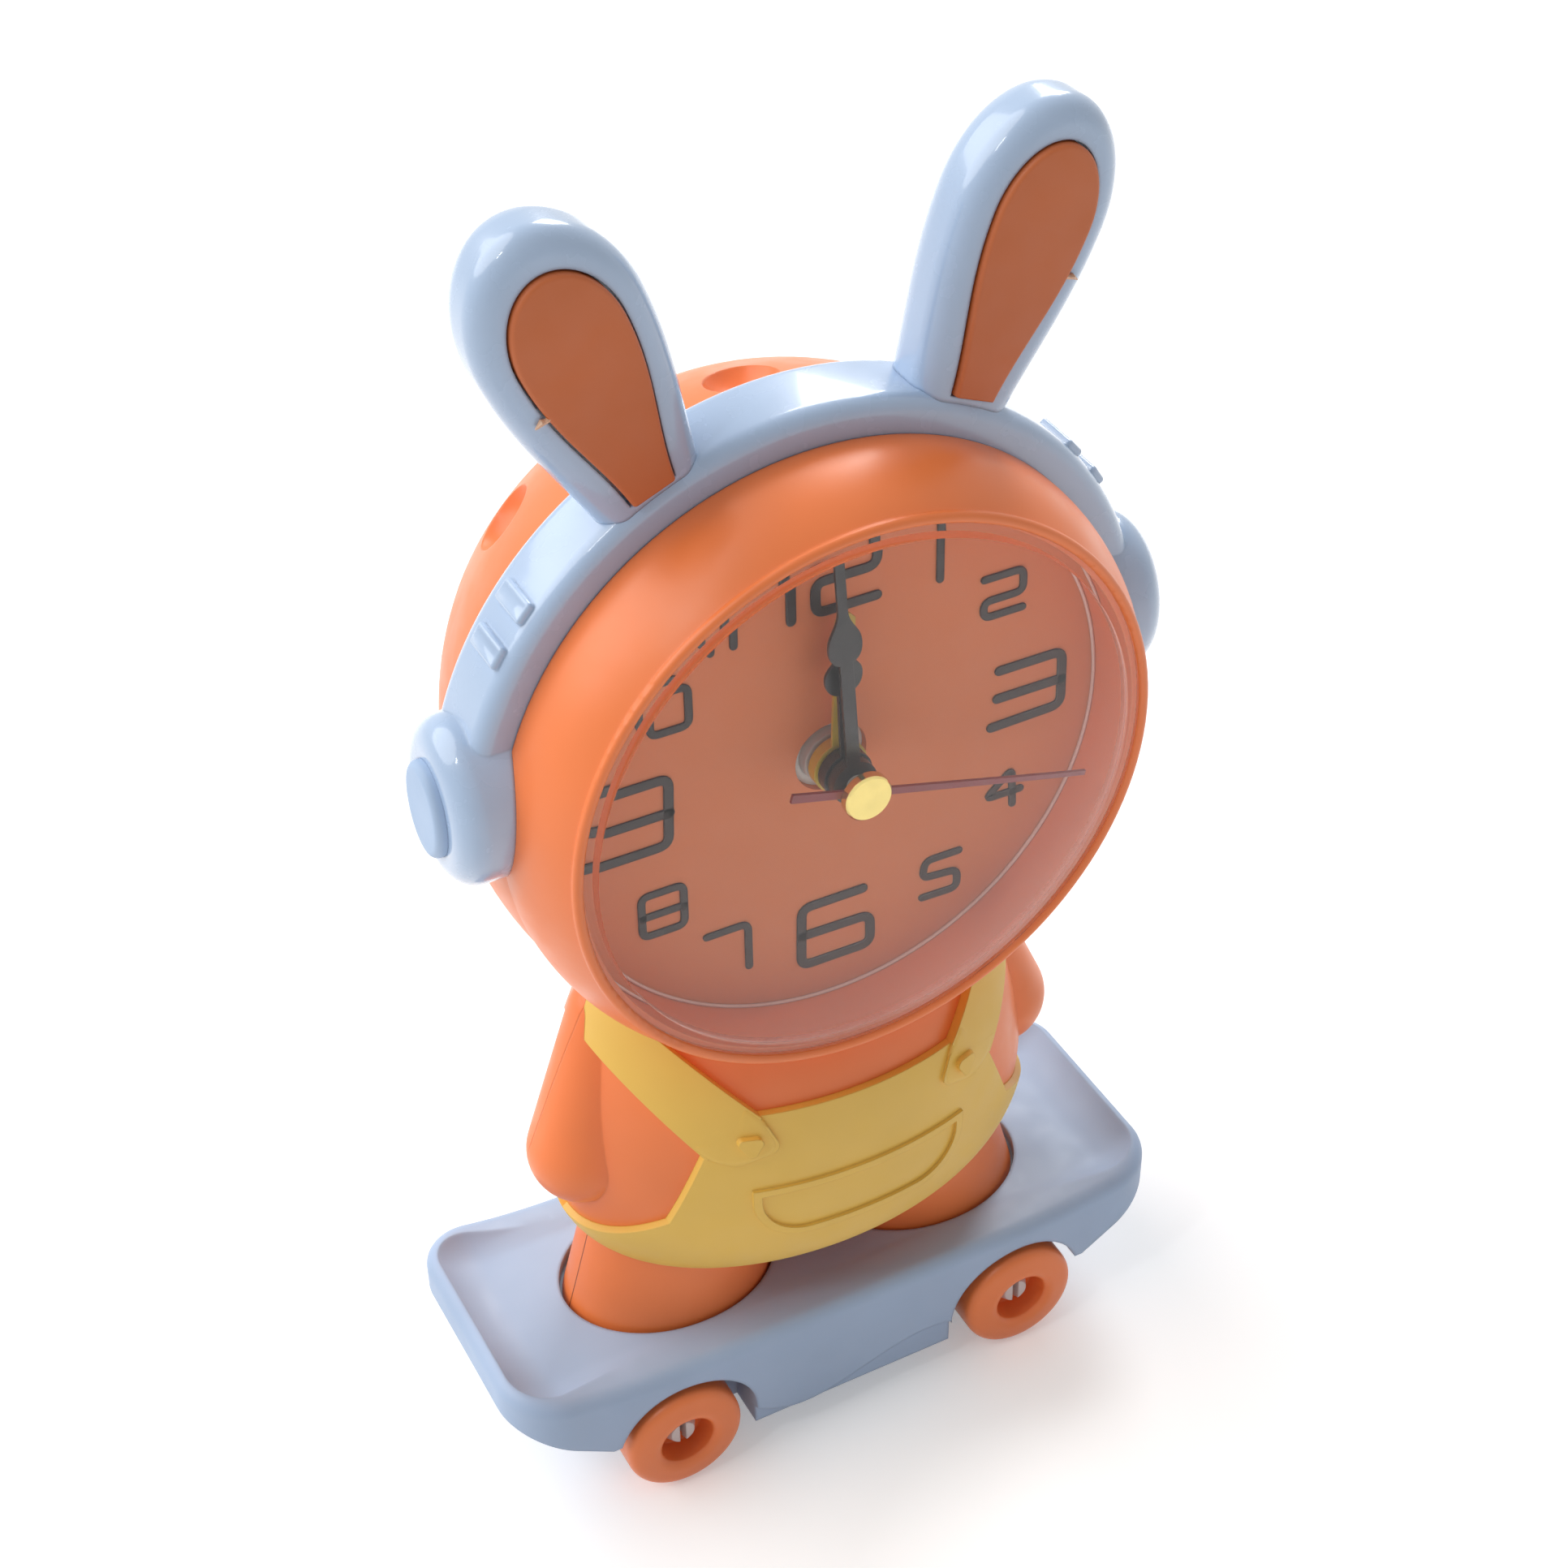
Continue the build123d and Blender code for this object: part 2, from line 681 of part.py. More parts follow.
def make_overalls(figure):
    """Trousers, bib and front straps as thin skins over the body, in a front and a rear piece."""
    cloth = body_form(CLOTH_T)
    front = cloth & front_prism(bib_outline())
    front += body_form(STRAP_T) & front_prism(both_sides(strap_outline()))
    front += body_form(POCKET_T) & front_prism(pocket_outline())
    front += body_form(BUTTON_T) & front_prism(both_sides(button_outline()))
    waist = Pos(0, (WAIST_Z + HEM_Z) / 2) * Rectangle(4 * BIB_HIP_X, WAIST_Z - HEM_Z)
    rear = cloth & rear_prism(waist)
    head = head_envelope()
    return front - figure - head, rear - figure - head


# Head

def bezel_outline_edges():
    """Outside of the front drum in section, with the rolled lip round the lens."""
    lip_start = (LIP_R, LIP_Y + LIP_ROLL)
    rise = ThreePointArc((BEZEL_REAR_R, SEAM_Y), BEZEL_MID, lip_start)
    lip = ThreePointArc(lip_start, (LIP_R - LIP_CREST, LIP_Y), (LENS_R + SEAT, LENS_EDGE_Y))
    return [rise, lip]


def make_bezel():
    """Front drum of the head: curved outside, stepped inside for the lens and the dial."""
    pocket_r = DIAL_R + SEAT
    inside = Polyline(
        (LENS_R + SEAT, LENS_EDGE_Y),
        (LENS_R + SEAT, LENS_SEAT_Y),
        (WINDOW_R, LENS_SEAT_Y),
        (WINDOW_R, DIAL_Y - SEAT),
        (pocket_r, DIAL_Y - SEAT),
        (pocket_r, SEAM_Y),
        (BEZEL_REAR_R, SEAM_Y),
    )
    return on_head(revolve(closed_face(*bezel_outline_edges(), inside), Axis.Y))


def head_envelope():
    """Solid of the whole head outside, used to seat the headset on it."""
    axis_side = Polyline(
        (LENS_R + SEAT, LENS_EDGE_Y),
        (0, LENS_EDGE_Y),
        (0, SEAM_Y),
        (BEZEL_REAR_R, SEAM_Y),
    )
    drum = revolve(closed_face(*bezel_outline_edges(), axis_side), Axis.Y)
    return on_head(drum + Sphere(HEAD_R))


def dome_mid(edge_r, top_y):
    """Point halfway along the arc of a dome from its top to its edge."""
    rise = LENS_EDGE_Y - top_y
    ball_r = (edge_r ** 2 + rise ** 2) / (2 * rise)
    sweep = math.asin(edge_r / ball_r) / 2
    return ball_r * math.sin(sweep), top_y + ball_r * (1 - math.cos(sweep))


def make_lens():
    """Clear dome with a short skirt that stands on the step inside the lip."""
    inner_top = LENS_TOP_Y + LENS_T
    inner_r = LENS_R - LENS_T
    foot_y = LENS_SEAT_Y - SEAT
    skirt = Polyline((LENS_R, LENS_EDGE_Y), (LENS_R, foot_y), (inner_r, foot_y), (inner_r, LENS_EDGE_Y))
    profile = closed_face(
        ThreePointArc((0, LENS_TOP_Y), dome_mid(LENS_R, LENS_TOP_Y), (LENS_R, LENS_EDGE_Y)),
        skirt,
        ThreePointArc((inner_r, LENS_EDGE_Y), dome_mid(inner_r, inner_top), (0, inner_top)),
        Line((0, inner_top), (0, LENS_TOP_Y)),
    )
    return on_head(revolve(profile, Axis.Y))


def make_dial():
    return along_y(extrude(ring_face(DIAL_R, DIAL_HOLE_R), amount=DIAL_T), 0, HEAD_Z, DIAL_BACK_Y)


def dimple(angle, y, wall):
    """Ball of a crater in the rear shell, at an angle from the top and a depth along the head."""
    ring_r = math.sqrt(HEAD_R ** 2 - y ** 2)
    turn = math.radians(angle)
    place = Vector(ring_r * math.sin(turn), y, ring_r * math.cos(turn))
    ball_r = (DIMPLE_R ** 2 + DIMPLE_DEPTH ** 2) / (2 * DIMPLE_DEPTH)
    centre = place * ((HEAD_R + ball_r - DIMPLE_DEPTH) / HEAD_R)
    sideways = Vector(math.cos(turn), 0, -math.sin(turn))
    facing_out = Plane(origin=centre, x_dir=place, z_dir=place.cross(sideways))
    return facing_out * Sphere(ball_r + wall)


def sphere_r(radius, y):
    return math.sqrt(radius ** 2 - y ** 2)


def bay_box(half_w, half_h, front_y, back_y):
    block = Box(2 * half_w, back_y - front_y, 2 * half_h, align=(Align.CENTER, Align.MIN, Align.CENTER))
    return Pos(0, front_y, HEAD_Z) * block


def sound_places():
    turns = [2 * math.pi * k / SOUND_HOLES for k in range(SOUND_HOLES)]
    return [(0, 0)] + [(SOUND_RING_R * math.cos(a), SOUND_RING_R * math.sin(a)) for a in turns]


def make_rear_shell():
    """Ball shell behind the seam with a flat back, battery bay, stem holes and sound holes."""
    outer_seam = (sphere_r(HEAD_R, SEAM_Y), SEAM_Y)
    outer_back = (sphere_r(HEAD_R, REAR_Y), REAR_Y)
    inner_r = HEAD_R - HEAD_WALL
    inner_seam = (sphere_r(inner_r, SEAM_Y), SEAM_Y)
    inner_back = (sphere_r(inner_r, REAR_INNER_Y), REAR_INNER_Y)
    ball = closed_face(
        Line((0, SEAM_Y), outer_seam),
        ThreePointArc(outer_seam, (HEAD_R, 0), outer_back),
        Line(outer_back, (0, REAR_Y)),
        Line((0, REAR_Y), (0, SEAM_Y)),
    )
    form = revolve(ball, Axis.Y)
    form = fillet(form.edges().group_by(Axis.Y)[-1], REAR_ROUND)
    hollow = closed_face(
        Line((0, SEAM_Y), inner_seam),
        ThreePointArc(inner_seam, (inner_r, 0), inner_back),
        Line(inner_back, (0, REAR_INNER_Y)),
        Line((0, REAR_INNER_Y), (0, SEAM_Y)),
    )
    shell = form - revolve(hollow, Axis.Y)
    for angle, y in DIMPLES:
        shell += dimple(angle, y, HEAD_WALL) & form
        shell -= dimple(angle, y, 0)
    shell = on_head(shell)
    bay_front_y = BAY_FLOOR_Y - BAY_WALL
    shell += bay_box(BAY_HALF_W + BAY_WALL, BAY_HALF_H + BAY_WALL, bay_front_y, REAR_INNER_Y + EPS)
    shell -= bay_box(BAY_HALF_W, BAY_HALF_H, BAY_FLOOR_Y, REAR_INNER_Y)
    shell -= bay_box(MOUTH_HALF_W, MOUTH_HALF_H, REAR_INNER_Y - EPS, REAR_Y + 1)
    shell -= bay_box(DOOR_HALF_W + FREE_GAP, DOOR_HALF_H + FREE_GAP, DOOR_INNER_Y - FREE_GAP, REAR_Y + 1)
    for side in (-1, 1):
        hole = extrude(Circle(ARBOR_R + STEM_GAP), amount=2 * HEAD_WALL)
        shell -= along_y(hole, side * KNOB_X, HEAD_Z + KNOB_DZ, REAR_Y + HEAD_WALL / 2)
    slot = extrude(SlotOverall(SWITCH_SLOT, SWITCH_SLOT_H), amount=2 * HEAD_WALL)
    shell -= along_y(slot, SWITCH_X, HEAD_Z + SWITCH_DZ, REAR_Y + HEAD_WALL / 2)
    for dx, dz in sound_places():
        hole = extrude(Circle(SOUND_HOLE_R), amount=2 * HEAD_WALL)
        shell -= along_y(hole, BUZZER_X + dx, HEAD_Z + BUZZER_DZ + dz, REAR_Y + HEAD_WALL / 2)
    cup = extrude(ring_face(BUZZER_R + SEAT + BUZZER_RING_W, BUZZER_R + SEAT), amount=BUZZER_T)
    shell += along_y(cup, BUZZER_X, HEAD_Z + BUZZER_DZ, REAR_INNER_Y + EPS)
    neck = Cylinder(NECK_R + SEAT, 2 * HEAD_WALL + NECK_RING_T)
    shell -= Pos(0, NECK_Y, HEAD_Z - HEAD_R + HEAD_WALL) * neck
    return shell


def band_ring():
    """Half ring of the headset with rounded outer edges."""
    inner = HEAD_R - HEAD_WALL
    corner = (Align.MIN, Align.MIN)
    section = Pos(inner, BAND_FRONT) * Rectangle(BAND_R - inner, BAND_REAR - BAND_FRONT, align=corner)
    outer_corners = section.vertices().sort_by(Axis.X)[-2:]
    ring = on_head(revolve(fillet(outer_corners, BAND_ROUND), Axis.Y))
    return ring & above(BAND_END_Z)


def side_oval(half_y, half_z, z, start_x, end_x):
    """Oval block on the right side of the head, from one x to another."""
    plane = Plane(origin=(start_x, CUP_Y, z), x_dir=(0, 1, 0), z_dir=(1, 0, 0))
    return extrude(plane * Ellipse(half_y, half_z), amount=end_x - start_x)


def cup_form():
    """Oval ear cup on the right side, rounded at its outer edge, with a seat for its cap."""
    cup = side_oval(CUP_HALF_Y, CUP_HALF_Z, CUP_Z, CUP_ROOT_X, CUP_X)
    return fillet(cup.faces().sort_by(Axis.X)[-1].edges(), CUP_ROUND)


def cap_block(clearance, start_x, end_x):
    return side_oval(CAP_HALF_Y + clearance, CAP_HALF_Z + clearance, CAP_Z, start_x, end_x)


def make_cup_cap():
    cap = cap_block(0, CUP_X - CAP_SINK + SEAT, CUP_X + CAP_RISE)
    return fillet(cap.faces().sort_by(Axis.X)[-1].edges(), CAP_ROUND)


def band_bar(angle):
    """Raised grip bar on the band, set at an angle from the top."""
    bar = Box(BAR_W, BAR_LEN, 2 * BAR_RISE)
    bar = fillet(bar.edges().filter_by(Axis.Z) + bar.faces().sort_by(Axis.Z)[-1].edges(), BAR_ROUND)
    lifted = Pos(0, BAR_FRONT + BAR_LEN / 2, BAND_R) * bar
    return on_head(Rot(0, angle, 0) * lifted)


def ear_outline(width, base_width, crown, root):
    """Leaf outline along the ear: narrow root, wide middle and a half-oval crown."""
    half = width / 2
    base = base_width / 2
    right = Spline((base, -root), (half, EAR_BULGE), tangents=((EAR_FLARE, 1), (0, 1)))
    left = Spline((-half, EAR_BULGE), (-base, -root), tangents=((0, -1), (EAR_FLARE, -1)))
    top = EllipticalCenterArc((0, EAR_BULGE), half, crown, start_angle=0, arc_size=180)
    return closed_face(right, top, left, Line((-base, -root), (base, -root)))


def place_ear(shape):
    back_y = BAND_FRONT + EAR_FRONT_INSET + EAR_DEPTH
    return Pos(EAR_X, back_y, EAR_Z) * Rot(90, 0, 0) * Rot(0, 0, -EAR_TILT) * shape


def make_ear(band):
    """Right ear shell, round outside, with a stepped pocket for its insert."""
    ear = extrude(ear_outline(EAR_W, EAR_BASE_W, EAR_CROWN, EAR_ROOT), amount=EAR_DEPTH)
    front = [e for e in ear.faces().sort_by(Axis.Z)[-1].edges() if e.center().Y > 0]
    ear = fillet(front, EAR_FRONT_ROUND)
    rear = [e for e in ear.faces().sort_by(Axis.Z)[0].edges() if e.center().Y > 0]
    ear = fillet(rear, EAR_REAR_ROUND)
    grow = 2 * INSERT_GAP
    recess = ear_outline(INSERT_W + grow, INSERT_BASE_W + grow, INSERT_CROWN + INSERT_GAP, INSERT_GAP)
    ear -= Pos(0, 0, EAR_DEPTH - INSERT_RECESS) * extrude(recess, amount=EAR_DEPTH)
    pocket = ear_outline(
        INSERT_W - EAR_POCKET_INSET,
        INSERT_BASE_W - EAR_POCKET_INSET,
        INSERT_CROWN - EAR_POCKET_INSET / 2,
        -EAR_POCKET_INSET,
    )
    ear -= Pos(0, 0, EAR_DEPTH - EAR_POCKET) * extrude(pocket, amount=EAR_POCKET)
    envelope = head_envelope()
    return place_ear(ear) - band - envelope


def make_insert(band):
    insert = extrude(ear_outline(INSERT_W, INSERT_BASE_W, INSERT_CROWN, 0), amount=INSERT_T)
    rim = insert.faces().sort_by(Axis.Z)[-1].edges().sort_by(Axis.Y)
    insert = fillet(rim[1:], INSERT_ROUND)
    return place_ear(Pos(0, 0, EAR_DEPTH - INSERT_RECESS + SEAT) * insert) - band - head_envelope()


def make_headset():
    """Headset band with its two cups; returns the band alone and both ears, inserts and caps."""
    right = cup_form() - cap_block(SEAT, CUP_X - CAP_SINK, CUP_X + 1)
    for angle in BAR_ANGLES:
        right += band_bar(angle)
    band = band_ring() + right + mirrored(right)
    band -= head_envelope()
    ear = make_ear(band)
    insert = make_insert(band)
    return band, ear, insert


# Motion works

def gear_face(teeth, phase):
    """Straight-flanked clock tooth form, with one tooth centred on the phase angle."""
    pitch = 2 * math.pi / teeth
    pitch_r = MODULE * teeth / 2
    tip_r = pitch_r + ADDENDUM * MODULE
    root_r = pitch_r - DEDENDUM * MODULE
    corners = ((root_r, -ROOT_SHARE), (tip_r, -TIP_SHARE), (tip_r, TIP_SHARE), (root_r, ROOT_SHARE))
    points = []
    for k in range(teeth):
        for radius, share in corners:
            angle = phase + (k + share) * pitch
            points.append((radius * math.cos(angle), radius * math.sin(angle)))
    return make_face(Polyline(*points, close=True))


def meshed_phase(phase, teeth, other_teeth, direction):
    """Phase of a gear that meshes with one whose phase is known, lying in the given direction."""
    share = (direction - phase) * teeth / (2 * math.pi)
    return direction + math.pi - (0.5 - share) * 2 * math.pi / other_teeth


def centre_distance(teeth, other_teeth):
    return MODULE * (teeth + other_teeth) / 2


def third_corner(x, z, near, far, left):
    """Point at one distance from the hand axis and another from the point (x, z)."""
    span = math.hypot(x, z)
    run = (near ** 2 - far ** 2 + span ** 2) / (2 * span)
    rise = math.sqrt(near ** 2 - run ** 2) * (1 if left else -1)
    ux, uz = x / span, z / span
    return run * ux - rise * uz, run * uz + rise * ux


MOTION_X, MOTION_DZ = third_corner(
    -KNOB_X, KNOB_DZ,
    centre_distance(MINUTE_TEETH, MOTION_TEETH),
    centre_distance(TIME_TEETH, MOTION_TEETH),
    True,
)
IDLER_X, IDLER_DZ = third_corner(
    KNOB_X, KNOB_DZ,
    centre_distance(ALARM_TEETH, ALARM_TEETH),
    centre_distance(ALARM_TEETH, ALARM_TEETH),
    False,
)
TO_MOTION = math.atan2(MOTION_DZ, MOTION_X)
MOTION_TO_TIME = math.atan2(KNOB_DZ - MOTION_DZ, -KNOB_X - MOTION_X)
TO_IDLER = math.atan2(IDLER_DZ, IDLER_X)
IDLER_TO_ALARM = math.atan2(KNOB_DZ - IDLER_DZ, KNOB_X - IDLER_X)
MOTION_PHASE = meshed_phase(0, MINUTE_TEETH, MOTION_TEETH, TO_MOTION)
TIME_PHASE = meshed_phase(MOTION_PHASE, MOTION_TEETH, TIME_TEETH, MOTION_TO_TIME)
MOTION_PINION_PHASE = meshed_phase(0, HOUR_TEETH, MOTION_PINION_TEETH, TO_MOTION)
IDLER_PHASE = meshed_phase(0, ALARM_TEETH, ALARM_TEETH, TO_IDLER)
ALARM_SET_PHASE = meshed_phase(IDLER_PHASE, ALARM_TEETH, ALARM_TEETH, IDLER_TO_ALARM)


def gear_at(teeth, phase, x, dz, layer):
    """Gear wheel whose front face lies at the start of a layer."""
    return along_y(extrude(gear_face(teeth, phase), amount=GEAR_T), x, HEAD_Z + dz, layer + GEAR_T)


def rod(radius, x, dz, front_y, back_y):
    return along_y(extrude(Circle(radius), amount=back_y - front_y), x, HEAD_Z + dz, back_y)


def pipe_wheel(teeth, layer, pipe_r, front_y):
    """Wheel on the hand axis with the pipe that carries its hand."""
    wheel = gear_at(teeth, 0, 0, 0, layer) + rod(pipe_r, 0, 0, front_y, layer + GEAR_T)
    return wheel - rod(pipe_r - PIPE_WALL, 0, 0, front_y - 1, layer + GEAR_T + 1)


def make_motion_wheel():
    wheel = gear_at(MOTION_TEETH, MOTION_PHASE, MOTION_X, MOTION_DZ, MINUTE_LAYER)
    wheel += gear_at(MOTION_PINION_TEETH, MOTION_PINION_PHASE, MOTION_X, MOTION_DZ, HOUR_LAYER)
    neck_r = MODULE * (MOTION_PINION_TEETH / 2 - DEDENDUM)
    wheel += rod(neck_r, MOTION_X, MOTION_DZ, HOUR_LAYER, MINUTE_LAYER + GEAR_T)
    return wheel - rod(STUD_R + RUN_FIT, MOTION_X, MOTION_DZ, HOUR_LAYER - 1, MINUTE_LAYER + 2 * GEAR_T)


def make_idler():
    wheel = gear_at(ALARM_TEETH, IDLER_PHASE, IDLER_X, IDLER_DZ, ALARM_LAYER)
    return wheel - rod(STUD_R + RUN_FIT, IDLER_X, IDLER_DZ, ALARM_LAYER - 1, ALARM_LAYER + 2 * GEAR_T)


def make_arbor(x, teeth, phase, layer):
    """Setting arbor: pinion at the front and a stem out through the back of the head."""
    arbor = gear_at(teeth, phase, x, KNOB_DZ, layer)
    return arbor + rod(ARBOR_R, x, KNOB_DZ, layer, KNOB_FACE_Y + KNOB_T / 2)


def make_knob(x):
    """Fluted setting knob pressed on the end of its arbor."""
    face = Circle(KNOB_R)
    for k in range(KNOB_FLUTES):
        turn = 2 * math.pi * k / KNOB_FLUTES
        face -= Pos(KNOB_R * math.cos(turn), KNOB_R * math.sin(turn)) * Circle(FLUTE_R)
    knob = along_y(extrude(face, amount=KNOB_T), x, HEAD_Z + KNOB_DZ, KNOB_FACE_Y + KNOB_T)
    return knob - rod(ARBOR_R + SEAT, x, KNOB_DZ, KNOB_FACE_Y - 1, KNOB_FACE_Y + KNOB_T / 2 + SEAT)


def case_outline(clearance):
    height = CASE_TOP - CASE_BOTTOM
    width = 2 * (CASE_HALF_W - clearance)
    face = RectangleRounded(width, height - 2 * clearance, CASE_CORNER_R - clearance)
    return Pos(0, (CASE_TOP + CASE_BOTTOM) / 2) * face


def make_movement_plate():
    """Front plate of the movement with the two studs that the idle wheels turn on."""
    plate = along_y(extrude(case_outline(0), amount=PLATE_T), 0, HEAD_Z, PLATE_BACK_Y)
    plate -= rod(BUSH_R + SEAT, 0, 0, PLATE_FRONT_Y - 1, PLATE_BACK_Y + 1)
    plate += rod(STUD_R, MOTION_X, MOTION_DZ, PLATE_FRONT_Y, MINUTE_LAYER + GEAR_T)
    plate += rod(STUD_R, IDLER_X, IDLER_DZ, PLATE_FRONT_Y, ALARM_LAYER + GEAR_T)
    return plate


def make_movement_case():
    """Rear case of the movement, an open box behind the plate with holes for the two stems."""
    front_y = PLATE_BACK_Y + SEAT
    case = along_y(extrude(case_outline(0), amount=CASE_REAR_Y - front_y), 0, HEAD_Z, CASE_REAR_Y)
    hollow = extrude(case_outline(CASE_WALL), amount=CASE_INNER_Y - front_y + 1)
    case -= along_y(hollow, 0, HEAD_Z, CASE_INNER_Y)
    for side in (-1, 1):
        case -= rod(ARBOR_R + RUN_FIT, side * KNOB_X, KNOB_DZ, CASE_INNER_Y - 1, CASE_REAR_Y + 1)
    return case


def make_quartz_unit():
    """Sealed drive unit with the circuit and step motor, with a running hole for the second arbor."""
    depth = CASE_INNER_Y - SEAT - UNIT_FRONT_Y
    box = RectangleRounded(UNIT_W, UNIT_H, CASE_CORNER_R / 2)
    unit = along_y(extrude(box, amount=depth), 0, HEAD_Z + UNIT_DZ, CASE_INNER_Y - SEAT)
    return unit - rod(SECOND_R + RUN_FIT, 0, 0, UNIT_FRONT_Y - 1, UNIT_FRONT_Y + depth / 2)


def make_second_arbor():
    depth = CASE_INNER_Y - SEAT - UNIT_FRONT_Y
    return rod(SECOND_R, 0, 0, SECOND_ARBOR_Y, UNIT_FRONT_Y + depth / 2 - FREE_GAP)


def make_bush():
    front_y = ALARM_HAND_Y + HUB_T + LAYER_GAP
    bush = rod(BUSH_R, 0, 0, front_y, PLATE_BACK_Y)
    return bush - rod(ALARM_PIPE_R + RUN_FIT, 0, 0, front_y - 1, PLATE_BACK_Y + 1)


# Hands, drawn pointing to twelve

def hub(radius, hand_y, bore_r):
    """Round boss behind a hand that grips its pipe."""
    boss = rod(radius, 0, 0, hand_y - HAND_T, hand_y + HUB_T)
    return boss - rod(bore_r, 0, 0, hand_y - HAND_T - 1, hand_y + HUB_T + 1)


def flat_hand(face, hand_y):
    return along_y(extrude(face, amount=HAND_T), 0, HEAD_Z, hand_y)


def make_hand(blade, hub_r, hand_y, pipe_r, turn):
    """Flat blade, drawn pointing to twelve, with the boss that grips its pipe."""
    bore = pipe_r + SEAT
    return flat_hand(Rot(0, 0, -turn) * blade - Circle(bore), hand_y) + hub(hub_r, hand_y, bore)


def make_alarm_hand():
    blade = Pos(0, ALARM_HAND_LEN / 2) * Rectangle(ALARM_HAND_W, ALARM_HAND_LEN)
    blade = chamfer(blade.vertices().sort_by(Axis.Y)[-2:], ALARM_HAND_TAPER)
    return make_hand(blade, ALARM_HUB_R, ALARM_HAND_Y, ALARM_PIPE_R, ALARM_ANGLE)


def leaf_blade(stem_w, tip_w, leaf, leaf_w, length):
    """Straight stem, spade-shaped leaf with round shoulders and a hollow flare, and a straight tip."""
    low, wide, high = leaf
    half = leaf_w / 2
    shoulder = Spline((stem_w / 2, low), (half, wide), tangents=((1, LEAF_SHOULDER), (0, 1)))
    flare = Spline((half, wide), (tip_w / 2, high), tangents=((0, 1), (0, 1)))
    tip = Polyline((tip_w / 2, high), (tip_w / 2, length), (0, length))
    stem = Polyline((0, length), (0, 0), (stem_w / 2, 0), (stem_w / 2, low))
    return both_sides(closed_face(shoulder, flare, tip, stem))


def make_hour_hand():
    blade = leaf_blade(HOUR_STEM_W, HOUR_TIP_W, HOUR_LEAF, HOUR_LEAF_W, HOUR_HAND_LEN)
    return make_hand(blade, HOUR_HUB_R, HOUR_HAND_Y, HOUR_PIPE_R, HOUR_ANGLE)


def make_minute_hand():
    blade = leaf_blade(MINUTE_STEM_W, MINUTE_TIP_W, MINUTE_LEAF, MINUTE_LEAF_W, MINUTE_HAND_LEN)
    return make_hand(blade, MINUTE_HUB_R, MINUTE_HAND_Y, MINUTE_PIPE_R, MINUTE_ANGLE)


def make_second_hand():
    root = SECOND_W / 2
    tip = SECOND_TIP_W / 2
    corners = [(-root, -SECOND_TAIL), (root, -SECOND_TAIL), (tip, SECOND_TIP), (-tip, SECOND_TIP)]
    needle = make_face(Polyline(*corners, close=True))
    return make_hand(needle, SECOND_HUB_R, SECOND_HAND_Y, SECOND_R, SECOND_ANGLE)


def make_second_cap():
    """Flat round cap pressed on the end of the second arbor, in front of its hand."""
    back_y = SECOND_HAND_Y - HAND_T - SEAT
    cap = rod(CAP_DISC_R, 0, 0, back_y - CAP_DISC_T, back_y)
    cap = chamfer(cap.edges().group_by(Axis.Y)[0], CAP_DISC_EDGE)
    return cap - rod(SECOND_R + SEAT, 0, 0, SECOND_ARBOR_Y - SEAT, back_y + 1)


# Battery, door, switch and sounder

def make_cell():
    """AA cell lying across the bay, its nub to the right."""
    body = Rot(0, 90, 0) * Cylinder(CELL_R, CELL_LEN)
    nub = Rot(0, 90, 0) * Cylinder(CELL_NUB_R, 2 * CELL_NUB_LEN)
    body += Pos(CELL_LEN / 2, 0, 0) * nub
    return Pos(-CELL_NUB_LEN / 2, CELL_Y, HEAD_Z) * body


def contact_plate(side):
    height = 2 * (BAY_HALF_H - BAY_WALL)
    x = side * (BAY_HALF_W - CONTACT_T / 2 - SEAT)
    return Pos(x, CELL_Y, HEAD_Z) * Box(CONTACT_T, 2 * CELL_R - 1, height)


def make_flat_contact():
    """Sprung leaf that bears on the nub of the cell."""
    plate = contact_plate(1)
    face_x = BAY_HALF_W - CONTACT_T - SEAT
    nub_x = CELL_LEN / 2 + CELL_NUB_LEN / 2
    reach = face_x - nub_x - SEAT
    pad = Rot(0, 90, 0) * Cylinder(CELL_NUB_R, reach, align=(Align.CENTER, Align.CENTER, Align.MAX))
    return plate + Pos(face_x - reach, CELL_Y, HEAD_Z) * Rot(0, 180, 0) * pad


def make_spring_contact():
    """Plate with a tapered coil spring that presses on the flat end of the cell."""
    plate = contact_plate(-1)
    face_x = -BAY_HALF_W + CONTACT_T + SEAT
    end_x = -CELL_LEN / 2 - CELL_NUB_LEN / 2
    reach = end_x - face_x - SEAT
    pitch = reach / SPRING_TURNS
    for k in range(SPRING_TURNS):
        ring_r = SPRING_R - k * SPRING_WIRE_R
        ring = extrude(ring_face(ring_r, ring_r - 2 * SPRING_WIRE_R), amount=pitch)
        plate += Pos(face_x + k * pitch, CELL_Y, HEAD_Z) * Rot(0, 90, 0) * ring
    return plate


def make_battery_door():
    """Flat door in a rebate of the back, with grip ribs."""
    door = bay_box(DOOR_HALF_W, DOOR_HALF_H, DOOR_INNER_Y, REAR_Y + DOOR_PROUD)
    rib = Box(RIB_W, 2 * DOOR_PROUD, DOOR_HALF_H)
    for k in range(RIB_COUNT):
        x = DOOR_HALF_W - (k + 2) * RIB_PITCH
        door += Pos(x, REAR_Y + DOOR_PROUD, HEAD_Z) * rib
    return door


